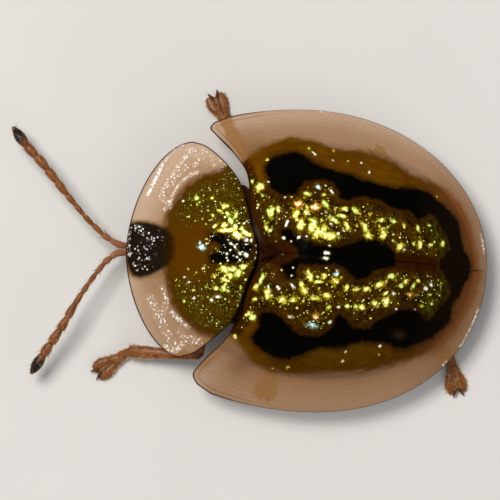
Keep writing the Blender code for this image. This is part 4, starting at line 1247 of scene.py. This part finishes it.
def make_shield(finish):
    rim = shield_outline(SHIELD_COLUMNS)
    hubs = np.broadcast_to(SHIELD_HUB, rim.shape)
    shares = np.concatenate([[0], np.linspace(0.015, 0.965, 104), EDGE_SHARES])
    coarse = [0, *range(6, 104, 8), 105, 106, 107, len(shares) - 1]
    outline = rim[::3]
    spot = on_shell(SHIELD_SPOT, shield_height)
    disc_line = on_shell(SHIELD_DISC, shield_height)
    hollows = Hollows.joined(glint_hollows(SHIELD_GLINTS, shield_height, GLINT_DEPTH), shield_grains(spot))
    head = on_shell(HEAD_SHADE, shield_height)
    streaks = laid_streaks(MARGIN_STREAKS, shield_height)

    def relief(x, y, edge):
        disc = depth_inside(x, y, disc_line)
        on_disc = smooth(-0.02, 0.08, disc)
        made = hollows.read(x, y)[0] * on_disc
        made += 0.004 * noise(x, y, 0, 0.14, 13) * on_disc + 0.002 * noise(x, y, 0, 0.05, 14) * on_disc
        made += 0.008 * hill((disc, 0.035)) * smooth(-0.2, -0.7, x)
        made += (0.0030 * noise(x, y, 0, 0.05, 15) + 0.003 * noise(x, y, 0, 0.09, 16)) * (1 - on_disc)
        return made * smooth(0.0, 0.03, edge)

    def values(x, y):
        out = np.abs(y)
        disc = depth_inside(x, y, disc_line)
        _, gilding, glow, tint = hollows.read(x, y)
        belt = hill((out - 0.45, 0.30)) * smooth(-0.85, -0.3, x)
        amber = 0.85 * smooth(0.62, 0.16, out) * smooth(-0.36, -0.70, x) * smooth(-1.35, -1.15, x)
        # painted glint streaks, and a faint band of them round the disc
        streak = np.maximum(read_streaks(x, y, streaks), 0.20 * smooth(0.35, 0.0, np.abs(disc + 0.2)))
        sparkle = np.clip(0.85 + 0.15 * belt, 0, 1) * smooth(0.02, 0.1, disc)
        shade = 0.8 * hill((disc + 0.03, 0.05)) * smooth(-0.1, -0.6, x)
        fade = mix(1.0, 0.60, smooth(*HEAD_FADE_X, x))
        return {
            "black": depth_inside(x, y, spot) - 0.014 * smooth(-0.30, -0.46, x),
            "verdant": 0.85 * smooth(0.25, 0.55, out) * smooth(0.0, 0.1, disc),
            "gilt": np.clip(0.5 * belt + 0.8 * smooth(-0.35, -0.05, x), 0, 1),
            "glow": np.clip(glow + 0.30 * belt, 0, 1) * smooth(0.0, 0.1, disc),
            "gilding": gilding,
            "tint": np.where(gilding > 0.02, tint, 0.20),
            "amber": np.maximum(amber, 0.35 * smooth(0.08, 0.0, disc)),
            "sparkle": sparkle * mix(0.25, 1.0, smooth(0.25, 0.5, out + 0.5 * (x > -0.6))),
            "disc": disc,
            "shade": shade + 0.25 * smooth(0.2, -1.0, y),
            # painted shade where the dark head shows through the clear plate
            "smoke": smooth(-0.04, 0.05, depth_inside(x, y, head)) * fade,
            "streak": streak * (disc < 0.02),
        }

    below = underside(shield_height, SHELL)
    shape = shell_plate(hubs, rim, True, shares, coarse, shield_height, below, outline, relief, values)
    return shape.make("pronotum_shield", finish, "gilded_shell", "pronotum")


def make_scutellum(finish):
    front, tip, half = SCUTELLUM_FRONT_X, SCUTELLUM_TIP_X, SCUTELLUM_HALF_WIDTH
    corners = [
        (front, 0.0), (front - 0.01, 0.6 * half), (front + 0.01, half),
        (mix(front, tip, 0.45), 0.45 * half), (tip, 0.0),
    ]
    line = spread_evenly(np.array(corners), 41)
    rim = np.vstack([line, line[-2:0:-1] * (1, -1)])
    hubs = np.broadcast_to((mix(front, tip, 0.35), 0.0), rim.shape)

    def relief(x, y, edge):
        crest = 0.012 * smooth(0.0, 0.06, edge) - 0.02 * smooth(0.02, 0.0, edge)
        return crest + 0.002 * noise(x, y, 0, 0.03, 21)

    shape = shell_plate(
        hubs, rim, True, np.linspace(0, 1, 22), [0, 8, 15, 19, 21], lambda x, y: case_height(x, y) - 0.014,
        lambda x, y: case_height(x, y) - SHELL, rim, relief, lambda x, y: {}, reach=0.02,
    )
    return shape.make("scutellum_plate", finish, "scutellum_brown", "scutellum")


# Trunk


def belly_height(x, y):
    height = BELLY_Z + BELLY_RISE * (np.abs(y) / TRUNK_HALF_WIDTH) ** 3
    share = np.clip((x - ABDOMEN_X[0]) / (ABDOMEN_X[1] - ABDOMEN_X[0]), 0, 1)
    steps = STERNITE_STEP * (1 - (share * STERNITES) % 1) * (x > ABDOMEN_X[0])
    return height + BELLY_RISE * share**2 + steps


def slab(name, half, hub_x, cover, finish, node, grooves):
    """A closed body between the belly and the shell above it, with rounded lower edges."""
    line = spread_evenly(curve_through(half, 8) if len(half) < 12 else np.array(half), 111)
    line[0, 1] = line[-1, 1] = 0.0
    rim = np.vstack([line, line[-2:0:-1] * (1, -1)])
    shares = np.concatenate([[0.02], np.linspace(0.06, 0.9, 42), np.linspace(0.92, 1, 9)])
    hub = np.array([hub_x, 0.0])
    plan = hub + (rim - hub)[:, None] * shares[None, :, None]
    x, y = plan[..., 0], plan[..., 1]
    edge = distance_to_line(x, y, rim, closed=True)
    low = belly_height(x, y) + edge_round(edge, 0.10, 0.16)
    low += grooves(x, y) + 0.004 * noise(x, y, 0, 0.06, 31) + 0.008 * noise(x, y, 0, 0.2, 32)
    low = np.maximum(low, belly_height(x, y) - 0.002)
    high = cover(x, y)
    wall = np.linspace(0, 1, 9)[1:-1]
    climb = mix(low[:, -1:], high[:, -1:], wall)
    side = np.stack(np.broadcast_arrays(x[:, -1:], y[:, -1:], climb), -1)
    coarse = [len(shares) - 1, len(shares) - 8, 34, 18, 0]
    under, over = np.stack([x, y, low], -1), np.stack([x, y, high], -1)
    table = np.concatenate([under, side, over[:, coarse]], axis=1)
    columns, rows = table.shape[:2]
    ids = np.arange(columns * rows).reshape(columns, rows)
    faces = [face[::-1] for face in grid_faces(ids, wrap=True)]
    centres = [(hub_x, 0.0, float(face[:, 0].mean())) for face in (low, high)]
    bottom, top = columns * rows, columns * rows + 1
    faces += [(bottom, ids[(c + 1) % columns, 0], ids[c, 0]) for c in range(columns)]
    faces += [(top, ids[c, -1], ids[(c + 1) % columns, -1]) for c in range(columns)]
    shape = Shape().add(np.vstack([table.reshape(-1, 3), centres]), faces)
    return shape.make(name, finish, "dark_body", node)


def groove(distance, width, depth):
    return depth * np.exp(-((distance / width) ** 2))


def make_trunk(finish):
    case_under, shield_under = underside(case_height, SHELL), underside(shield_height, SHELL)
    front, rear = PROTHORAX_X
    half = [
        (front, 0.0), (front, 0.34), (front + 0.16, 0.66), (mix(front, rear, 0.6), PROTHORAX_HALF_WIDTH),
        (rear, 0.90), (rear, 0.45), (rear, 0.0),
    ]

    def chest_cover(x, y):
        return shield_under(x, y) - GAP

    def chest(x, y):
        made = groove(np.abs(y) - 0.14, 0.02, 0.02) * (x > front + 0.1)
        return made + groove(x - front - 0.15, 0.03, 0.02)

    slab("prosternum", half, mix(front, rear, 0.5), chest_cover, finish, "prothorax", chest)
    front, rear = THORAX_X

    def thorax_cover(x, y):
        cases = case_under(x, y) - GAP
        ramp = shield_under(np.minimum(x, SHIELD_DISC_X), y) - GAP
        return mix(np.minimum(cases, ramp) - 0.02, cases, np.clip((x - 0.25) / 0.35, 0, 1))

    half = [
        (front, 0.0), (front, 0.50), (front, 0.98), (front + 0.25, 1.16),
        (mix(front, rear, 0.55), TRUNK_HALF_WIDTH - 0.04), (rear, TRUNK_HALF_WIDTH), (rear, 0.70),
        (rear, 0.0),
    ]

    def breast(x, y):
        made = groove(y, 0.015, 0.015) * (x > 0.5) + groove(np.abs(y) - 0.55 - 0.3 * (x - 0.2), 0.02, 0.02)
        return made + groove(x - 0.52 - 0.1 * np.abs(y), 0.02, 0.02) + groove(x - 1.0, 0.02, 0.015)

    slab("breast_plates", half, mix(front, rear, 0.5), thorax_cover, finish, "thorax", breast)
    front, rear = ABDOMEN_X
    angle = np.linspace(math.pi / 2, 0, 40)
    curve = np.stack([front + (rear - front) * np.cos(angle), TRUNK_HALF_WIDTH * np.sin(angle)], -1)
    half = [(front, 0.0), (front, 0.4), (front, 0.8), (front, 1.1), *curve.tolist()]

    def belly(x, y):
        share = (x - front) / (rear - front) * STERNITES
        near = np.abs(share - np.round(share)) * (rear - front) / STERNITES
        return groove(near, 0.018, 0.022) + groove(np.abs(y) - 0.95 * (1 - 0.3 * (x - front)), 0.02, 0.015)

    slab("belly_plates", half, front + 0.8, lambda x, y: case_under(x, y) - GAP, finish, "abdomen", belly)


# Limbs


class Limb:
    """A rounded limb along a line, with a half width and a half height at each place on it."""

    def __init__(self, line, wide, high=None, squareness=2.0, floor=None):
        self.line = np.array(line, float)
        self.far = lengths_along(self.line)
        self.length = self.far[-1]
        self.wide = np.array(wide, float)
        self.high = self.wide if high is None else np.array(high, float)
        self.squareness, self.floor = squareness, floor
        self.stops = np.linspace(0, 1, len(self.wide))

    def frame(self, share):
        share = np.asarray(share, float)
        centre = read_line(self.line, self.far, share * self.length)
        probe = 0.02
        ahead = read_line(self.line, self.far, np.clip(share + probe, 0, 1) * self.length)
        back = read_line(self.line, self.far, np.clip(share - probe, 0, 1) * self.length)
        along = ahead - back
        along /= np.linalg.norm(along, axis=-1, keepdims=True)
        across = np.cross((0.0, 0.0, 1.0), along)
        across /= np.linalg.norm(across, axis=-1, keepdims=True)
        return centre, along, across, np.cross(along, across)

    def point(self, share, angle):
        """Places on the skin and the way out from it."""
        centre, along, across, upward = self.frame(share)
        wide, high = np.interp(share, self.stops, self.wide), np.interp(share, self.stops, self.high)
        power = 2 / self.squareness
        c, s = np.cos(angle), np.sin(angle)
        c, s = np.sign(c) * np.abs(c) ** power, np.sign(s) * np.abs(s) ** power
        out = across * (wide * c)[..., None] + upward * (high * s)[..., None]
        place = centre + out
        if self.floor is not None:
            place[..., 2] = np.maximum(place[..., 2], self.floor)
        c, s = c / np.maximum(wide, 1e-4), s / np.maximum(high, 1e-4)
        away = across * c[..., None] + upward * s[..., None]
        return place, away / np.linalg.norm(away, axis=-1, keepdims=True), along

    def skin(self, shape, rows, sides, cap=(0.6, 0.6), ripple=0.0, seed=1, **values):
        """Adds the limb's closed skin, with rounded ends, to a shape."""
        share = np.linspace(0, 1, rows)
        angle = math.tau * np.arange(sides) / sides
        grid_share, grid_angle = np.meshgrid(share, angle, indexing="ij")
        place, away, _ = self.point(grid_share.ravel(), grid_angle.ravel())
        if ripple:
            lumps = noise(place[:, 0], place[:, 1], place[:, 2], 0.05, seed)
            place = place + away * (ripple * lumps)[:, None]
        place = place.reshape(rows, sides, 3)
        ends = []
        for end, out in ((0, -1), (1, 1)):
            centre, ahead, _, _ = self.frame(np.array([float(end)]))
            ring = place[0 if end == 0 else -1]
            radius = np.interp(end, self.stops, self.high)
            caps = []
            for turn in (0.35, 0.65, 0.88):
                shrink = math.sqrt(1 - turn**2)
                caps.append(centre + (ring - centre) * shrink + ahead * out * radius * cap[end] * turn)
            ends.append((caps, centre + ahead * out * radius * cap[end]))
        rings = [*ends[0][0][::-1], *place, *ends[1][0]]
        table = np.array(rings)
        count = len(rings)
        ids = np.arange(count * sides).reshape(count, sides)
        faces = [face[::-1] for face in grid_faces(ids.T, wrap=True)]
        first, last = count * sides, count * sides + 1
        faces += [(first, ids[0, (s + 1) % sides], ids[0, s]) for s in range(sides)]
        faces += [(last, ids[-1, s], ids[-1, (s + 1) % sides]) for s in range(sides)]
        row_share = np.concatenate([[0] * 3, share, [1] * 3])
        full = {}
        for name, value in values.items():
            read = value(row_share) if callable(value) else np.full(count, float(value))
            full[name] = np.concatenate([np.repeat(read, sides), [read[0], read[-1]]])
        points = np.vstack([table.reshape(-1, 3), ends[0][1], ends[1][1]])
        if self.floor is not None:
            points[:, 2] = np.maximum(points[:, 2], self.floor)
        return shape.add(points, faces, **full)


class Bristles:
    """Fine hairs of three sides, bent a little, joined in one mesh."""

    def __init__(self, seed):
        self.random = np.random.default_rng(seed)
        self.roots, self.ways, self.leans, self.sizes, self.homes = [], [], [], [], []

    def grow(self, limb, count, length, lean, shares=(0.05, 0.95), angles=(0, math.tau), band=(0.0, 1.0)):
        random = self.random
        share = random.uniform(*shares, count)
        angle = random.uniform(*angles, count)
        place, away, along = limb.point(share, angle)
        away = away + along * lean + random.normal(0, 0.16, (count, 3))
        self.roots.append(place - away * 0.004)
        self.ways.append(away / np.linalg.norm(away, axis=1, keepdims=True))
        self.leans.append(along)
        self.sizes.append(length * random.uniform(0.65, 1.15, count))
        self.homes.append(np.stack([angle % math.tau / math.tau, mix(*band, share)], -1))

    def make(self, name, finish, slot, radius=HAIR_RADIUS):
        root, way, lean = np.vstack(self.roots), np.vstack(self.ways), np.vstack(self.leans)
        size, home = np.concatenate(self.sizes), np.vstack(self.homes)
        count = len(root)
        side = np.cross(way, lean + (0.01, 0.02, 0.03))
        side /= np.linalg.norm(side, axis=1, keepdims=True)
        other = np.cross(way, side)
        middle = root + way * (size * 0.5)[:, None]
        tip = middle + (way + lean * 0.35) * (size * 0.5)[:, None]
        rings = []
        for centre, much in ((root, radius), (middle, radius * 0.7)):
            for corner in range(3):
                turn = math.tau * corner / 3
                rings.append(centre + (side * math.cos(turn) + other * math.sin(turn)) * much)
        points = np.stack([*rings, tip], 1)
        points[..., 2] = np.maximum(points[..., 2], 0.0)
        pattern = [(0, 2, 1), (0, 1, 4, 3), (1, 2, 5, 4), (2, 0, 3, 5), (3, 4, 6), (4, 5, 6), (5, 3, 6)]
        faces = [tuple(7 * hair + corner for corner in face) for hair in range(count) for face in pattern]
        piece = Shape().add(points.reshape(-1, 3), faces).make(name, finish, slot)
        patch = np.array([(0, 0), (1, 0), (2, 0), (0, 1), (1, 1), (2, 1), (1, 3)]) * 0.001
        unwrap = (home[:, None] * 0.99 + patch[None]).reshape(-1, 2)
        mesh = piece.data
        corners = np.zeros(len(mesh.loops), np.int32)
        mesh.loops.foreach_get("vertex_index", corners)
        layer = mesh.uv_layers.new(name="OFBake")
        layer.data.foreach_set("uv", unwrap[corners].astype(np.float32).ravel())
        return piece


def make_antenna(name, route, finishes, seed):
    line = spread_evenly(curve_through(route, 12), 400)
    far = lengths_along(line)
    scale = far[-1] / sum(length for length, _ in SEGMENTS)
    shape, hairs = Shape(), Bristles(seed)
    final = len(SEGMENTS) - 1
    start = 0.0
    for number, (length, radius) in enumerate(SEGMENTS):
        last = number == final
        profile, age = SEGMENT_PROFILE, (-0.8, -0.6, -0.3, 0.0)[min(number, 3)]
        if number == 0:
            profile = FIRST_PROFILE
        if last:
            profile, age = LAST_PROFILE, lambda share: smooth(0.06, 0.32, share)
        at = np.linspace(max(0.0, start - 0.012), start + length * (0.97 if last else 0.93), 30) * scale
        limb = Limb(read_line(line, far, at), radius * np.array(profile))
        limb.skin(
            shape, 26, 22, cap=(0.5, 0.35), ripple=0.0012, seed=seed + number, age=age,
            node=lambda share: 0.45 * smooth(0.12, 0.0, share) + 0.25 * smooth(0.9, 1.0, share),
        )
        band = (number / len(SEGMENTS), (number + 0.95) / len(SEGMENTS))
        hairs.grow(limb, *((70, 0.038) if number >= DOWNY_FROM else (26, 0.045)), 0.9, band=band)
        hairs.grow(limb, 14, 0.075, 1.1, shares=(0.82, 0.98), band=band)
        start += length
    shape.make("feeler_" + name, finishes["antenna"], "antenna_brown", "antenna_" + name)
    hairs.make("feeler_bristles_" + name, finishes["bristle"], "antenna_brown", FEELER_HAIR_RADIUS)


def thigh_line(coxa, knee):
    """The coxa's centre under the belly, and the line from it to the knee."""
    x, y = coxa
    lowest = min(
        float(belly_height(np.array(x + dx * COXA_HALF[0]), np.array(y + dy * COXA_HALF[1])))
        for dx in (-1, 0, 1) for dy in (-1, 0, 1)
    )
    centre = np.array([x, y, lowest - GAP - COXA_HALF[2]])
    reach = np.array(knee) - centre
    way = reach / np.linalg.norm(reach)
    end = np.array(knee) - way * 0.02
    end[2] = knee[2] - 0.01
    return centre, centre + way * 0.04, end


def make_leg(place, side, finishes, seed):
    coxa, knee, ankle, heading = LEGS[place, side]
    tail = f"{place}_{SIDE_NAMES[side]}"
    centre, start, end = thigh_line(coxa, knee)
    knee, ankle = np.array(knee), np.array(ankle)
    # Coxa, trochanter and femur
    shape, hairs = Shape(), Bristles(seed)
    sideways = np.array([0.0, COXA_HALF[1], 0.0])
    hip = Limb([centre - sideways * 0.8, centre, centre + sideways * 0.8], *HIP_RADII)
    hip.skin(shape, 26, 30, ripple=0.002, seed=seed, node=0.35, age=0.0)
    line = np.array([mix(start, end, share) for share in np.linspace(0, 1, 40)])
    femur = Limb(line, FEMUR_RADII, [radius * 0.97 for radius in FEMUR_RADII], 2.2)
    femur.skin(
        shape, 60, 32, cap=(0.5, 0.75), ripple=0.0016, seed=seed + 1, age=0.0,
        node=lambda share: 0.8 * smooth(0.94, 1.0, share) + 0.35 * smooth(0.12, 0.0, share),
    )
    shape.make("thigh_" + tail, finishes["leg"], "amber_leg", "femur_" + tail)
    hairs.grow(femur, 110, 0.045, 0.8, shares=(0.25, 0.97), band=(0.0, 0.3))
    # Tibia
    reach = (ankle - knee) / np.linalg.norm(ankle - knee)
    share = np.linspace(0, 1, 30)[:, None]
    line = mix(knee + reach * 0.012, ankle - reach * 0.02, share)
    line[:, 2] += 0.03 * np.sin(math.pi * share[:, 0])
    tibia = Limb(line, *TIBIA_RADII, 2.5)
    shape = Shape()
    tibia.skin(
        shape, 60, 32, cap=(0.8, 0.4), ripple=0.0016, seed=seed + 2,
        age=lambda share: 0.25 * smooth(0.7, 1.0, share),
        node=lambda share: 0.7 * smooth(0.06, 0.0, share) + 0.4 * smooth(0.93, 1.0, share),
    )
    shape.make("shin_" + tail, finishes["leg"], "amber_leg", "tibia_" + tail)
    hairs.grow(tibia, 130, 0.05, 0.9, shares=(0.08, 0.8), band=(0.33, 0.6))
    hairs.grow(tibia, 90, 0.06, 1.1, shares=(0.78, 1.0), band=(0.6, 0.65))
    make_foot(tail, ankle, heading, finishes, hairs, seed)
    hairs.make("leg_bristles_" + tail, finishes["bristle"], "amber_leg")


def make_foot(tail, ankle, heading, finishes, hairs, seed):
    """Two short segments, the two-lobed one with its brush, the slim last one and two claws."""
    turn = math.atan2(heading[1], heading[0])
    c, s = math.cos(turn), math.sin(turn)
    rotation = np.array([(c, s, 0), (-s, c, 0), (0, 0, 1)])

    def part(points, *radii, steps=0, **how):
        points = curve_through(points, steps) if steps else np.array(points, float)
        return Limb(points @ rotation + (ankle[0], ankle[1], 0.0), *radii, **how)

    shape, claws = Shape(), Shape()
    rise = min(0.13, float(ankle[2]))
    toe_one = part([(0.0, 0, rise), *TOE_ONE], *TOE_ONE_RADII, floor=0.006)
    toe_two = part(TOE_TWO, *TOE_TWO_RADII, floor=0.004)
    for number, toe, count, band in ((3, toe_one, 50, (0.66, 0.7)), (4, toe_two, 60, (0.7, 0.75))):
        toe.skin(
            shape, 22, 26, ripple=0.0014, seed=seed + number, age=0.25,
            node=lambda share: 0.4 * smooth(0.85, 1.0, share),
        )
        hairs.grow(toe, count, 0.05, 0.9, band=band)
    for side in (LEFT, RIGHT):
        mirror = (1, side, 1)
        lobe = part(np.array(LOBE) * mirror, *LOBE_RADII, 2.2, floor=0.0)
        lobe.skin(shape, 34, 28, ripple=0.0016, seed=seed + 5 + side, age=0.15, node=0.1)
        hairs.grow(lobe, 150, 0.040, 0.5, band=(0.76, 0.88))
        hairs.grow(lobe, 90, 0.035, 0.3, angles=(math.pi * 1.05, math.pi * 1.95), band=(0.88, 0.93))
        part(np.array(CLAW) * mirror, CLAW_RADII, steps=8).skin(claws, 26, 14, cap=(0.6, 0.8))
        part(np.array(CLAW_TOOTH) * mirror, (0.014, 0.011, 0.004)).skin(claws, 10, 10)
    shank = part(SHANK, *SHANK_RADII)
    shank.skin(
        shape, 26, 22, ripple=0.001, seed=seed + 8, age=0.45,
        node=lambda share: 0.5 * smooth(0.9, 1.0, share),
    )
    hairs.grow(shank, 40, 0.045, 0.8, band=(0.94, 1.0))
    shape.make("foot_" + tail, finishes["leg"], "amber_leg", "tarsus_" + tail)
    claws.make("claws_" + tail, finishes["claw"], "amber_leg")


# Head


def ellipsoid(centre, half, rows, sides, reshape=None):
    """Points and faces of an ellipsoid whose poles point to -X and +X."""
    polar = np.linspace(0, math.pi, rows + 2)[1:-1]
    turn = math.tau * np.arange(sides) / sides
    p, t = np.meshgrid(polar, turn, indexing="ij")
    unit = np.stack([-np.cos(p), np.sin(p) * np.cos(t), np.sin(p) * np.sin(t)], -1).reshape(-1, 3)
    unit = np.vstack([unit, [(-1, 0, 0), (1, 0, 0)]])
    points = np.array(centre) + unit * half
    if reshape is not None:
        points = reshape(points, unit)
    ids = np.arange(rows * sides).reshape(rows, sides)
    faces = [face[::-1] for face in grid_faces(ids)]
    faces += [(ids[r, -1], ids[r, 0], ids[r + 1, 0], ids[r + 1, -1])[::-1] for r in range(rows - 1)]
    first, last = rows * sides, rows * sides + 1
    faces += [(first, ids[0, s], ids[0, (s + 1) % sides])[::-1] for s in range(sides)]
    faces += [(last, ids[-1, (s + 1) % sides], ids[-1, s])[::-1] for s in range(sides)]
    return points, faces


def skull(points, unit):
    """The head's skin, with a median furrow, raised sockets of the feelers, and dimples for the eyes."""
    px, py, pz = points.T
    lift = -0.012 * hill((py, 0.03)) * smooth(-0.9, -0.3, unit[:, 0]) * (unit[:, 2] > 0)
    lift = lift + 0.014 * hill((np.abs(py) - 0.10, 0.06), (px - HEAD_CENTRE[0] + 0.30, 0.09))
    lift = lift + 0.004 * noise(px, py, pz, 0.06, 41) + 0.0025 * noise(px, py, pz, 0.03, 42)
    for side in (LEFT, RIGHT):
        eye = (EYE_CENTRE[0], side * EYE_CENTRE[1], EYE_CENTRE[2])
        gone = np.linalg.norm((points - eye) / (np.array(EYE_HALF) + 0.018), axis=1)
        lift = lift - 0.06 * smooth(1.1, 0.6, gone)
    made = points + unit * lift[:, None]
    made[:, 0] = np.minimum(made[:, 0], NECK_X)
    return made


def make_head(finishes):
    shape = Shape()
    shape.add(*ellipsoid(HEAD_CENTRE, np.array(HEAD_HALF) * 0.985, 90, 110, skull))
    for offset, half, rows, sides in FACE_PLATES:
        shape.add(*ellipsoid(np.array(HEAD_CENTRE) + offset, half, rows, sides))
    for side in (LEFT, RIGHT):
        jaw, palp, socket = (
            np.array(HEAD_CENTRE) + np.array(points) * (1, side, 1) for points in (JAW, PALP, SOCKET)
        )
        Limb(curve_through(jaw, 6), *JAW_RADII).skin(shape, 22, 18)
        palp = curve_through(palp, 10)
        far = lengths_along(palp)
        for start, end, radius in PALP_PARTS:
            part = read_line(palp, far, np.linspace(start, end, 8) * far[-1])
            tip = 0.35 if end == 1.0 else 0.8
            Limb(part, (radius * 0.6, radius * 0.9, radius, radius, radius * tip)).skin(shape, 14, 16)
        Limb(socket, (0.075, 0.085, 0.080, 0.070)).skin(shape, 10, 24, cap=(0.2, 0.15))
    shape.make("head_capsule", finishes["head"], "dark_body", "head")
    for side in (LEFT, RIGHT):
        make_eye(side, finishes["eye"])


def make_eye(side, finish):
    """An eye of many small lenses, each a low dome."""
    centre = np.array((EYE_CENTRE[0], side * EYE_CENTRE[1], EYE_CENTRE[2]))
    index = np.arange(LENSES) + 0.5
    up = 1 - 2 * index / LENSES
    turn = math.pi * (1 + math.sqrt(5)) * index
    ring = np.sqrt(1 - up**2)
    lenses = np.stack([ring * np.cos(turn), ring * np.sin(turn), up], -1)

    def facets(points, unit):
        nearest = np.sqrt(np.maximum(0, 2 - 2 * np.max(unit @ lenses.T, axis=1)))
        dome = 1 - (nearest / LENS_REACH) ** 2
        return points + unit * (LENS_RISE * np.maximum(dome, -0.6))[:, None]

    shape = Shape().add(*ellipsoid(centre, np.array(EYE_HALF) * 0.96, 80, 100, facets))
    shape.make("compound_eye_" + SIDE_NAMES[side], finish, "eye_black", "eye_" + SIDE_NAMES[side])


# Floor, lights and camera


def make_floor():
    mesh = bpy.data.meshes.new("floor")
    corners = [(x * FLOOR_HALF, y * FLOOR_HALF, 0) for x, y in ((-1, -1), (1, -1), (1, 1), (-1, 1))]
    mesh.from_pydata(corners, [], [(0, 1, 2, 3)])
    f = Finish("pale_floor", Specular_IOR_Level=0.2, Roughness=0.75)
    f.set("Base Color", f.blend(f.noise(2.0, 2.0), (0.60, 0.575, 0.55), (0.64, 0.615, 0.59)))
    mesh.materials.append(f.material)
    floor = bpy.data.objects.new("floor", mesh)
    bpy.context.scene.collection.objects.link(floor)


def area_light(name, place, size, power, colour):
    """A square soft light aimed at the beetle. Its place and size are in metres."""
    light = bpy.data.lights.new(name, "AREA")
    light.shape = "SQUARE"
    light.size = size
    light.energy = power
    light.color = colour
    lamp = bpy.data.objects.new(name, light)
    bpy.context.scene.collection.objects.link(lamp)
    lamp.location = place
    way = Vector(LIGHT_AIM) - Vector(place)
    lamp.rotation_mode = "QUATERNION"
    lamp.rotation_quaternion = way.to_track_quat("-Z", "Y")


def make_studio():
    scene = bpy.context.scene
    world = bpy.data.worlds.new("studio")
    scene.world = world
    world.use_nodes = True
    sky = world.node_tree.nodes["Background"].inputs
    sky["Color"].default_value = SKY_COLOUR
    sky["Strength"].default_value = SKY_STRENGTH
    for light in LIGHTS:
        area_light(*light)
    scene.view_settings.view_transform = "Standard"
    camera = bpy.data.cameras.new("camera")
    camera.sensor_width = SENSOR_WIDTH
    camera.lens = SENSOR_WIDTH * CAMERA_DISTANCE / PHOTO_WIDTH_MM
    camera.clip_start, camera.clip_end = CAMERA_CLIP
    back = Vector((0.0, -math.cos(CAMERA_ELEVATION), math.sin(CAMERA_ELEVATION)))
    level = Vector((1.0, 0.0, 0.0))
    upward = back.cross(level)
    right = level * math.cos(PHOTO_TURN) + upward * math.sin(PHOTO_TURN)
    up = upward * math.cos(PHOTO_TURN) - level * math.sin(PHOTO_TURN)
    holder = bpy.data.objects.new("camera", camera)
    bpy.context.scene.collection.objects.link(holder)
    turn = Matrix((right, up, back)).transposed().to_4x4()
    holder.matrix_world = Matrix.Translation((Vector(CAMERA_AIM) + back * CAMERA_DISTANCE) * MM) @ turn
    scene.camera = holder


def main():
    finishes = make_finishes()
    ring = on_shell(RING, case_height)
    spot = on_shell(SUTURE_SPOT, case_height)
    for side in (LEFT, RIGHT):
        make_wing_case(side, finishes["shell"], ring, spot)
    make_shield(finishes["shell"])
    make_scutellum(finishes["scutellum"])
    make_trunk(finishes["trunk"])
    make_head(finishes)
    make_antenna("right", ANTENNA_RIGHT, finishes, 60)
    make_antenna("left", ANTENNA_LEFT, finishes, 80)
    for number, (place, side) in enumerate(LEGS):
        make_leg(place, side, finishes, 100 + 20 * number)
    make_floor()
    make_studio()


main()
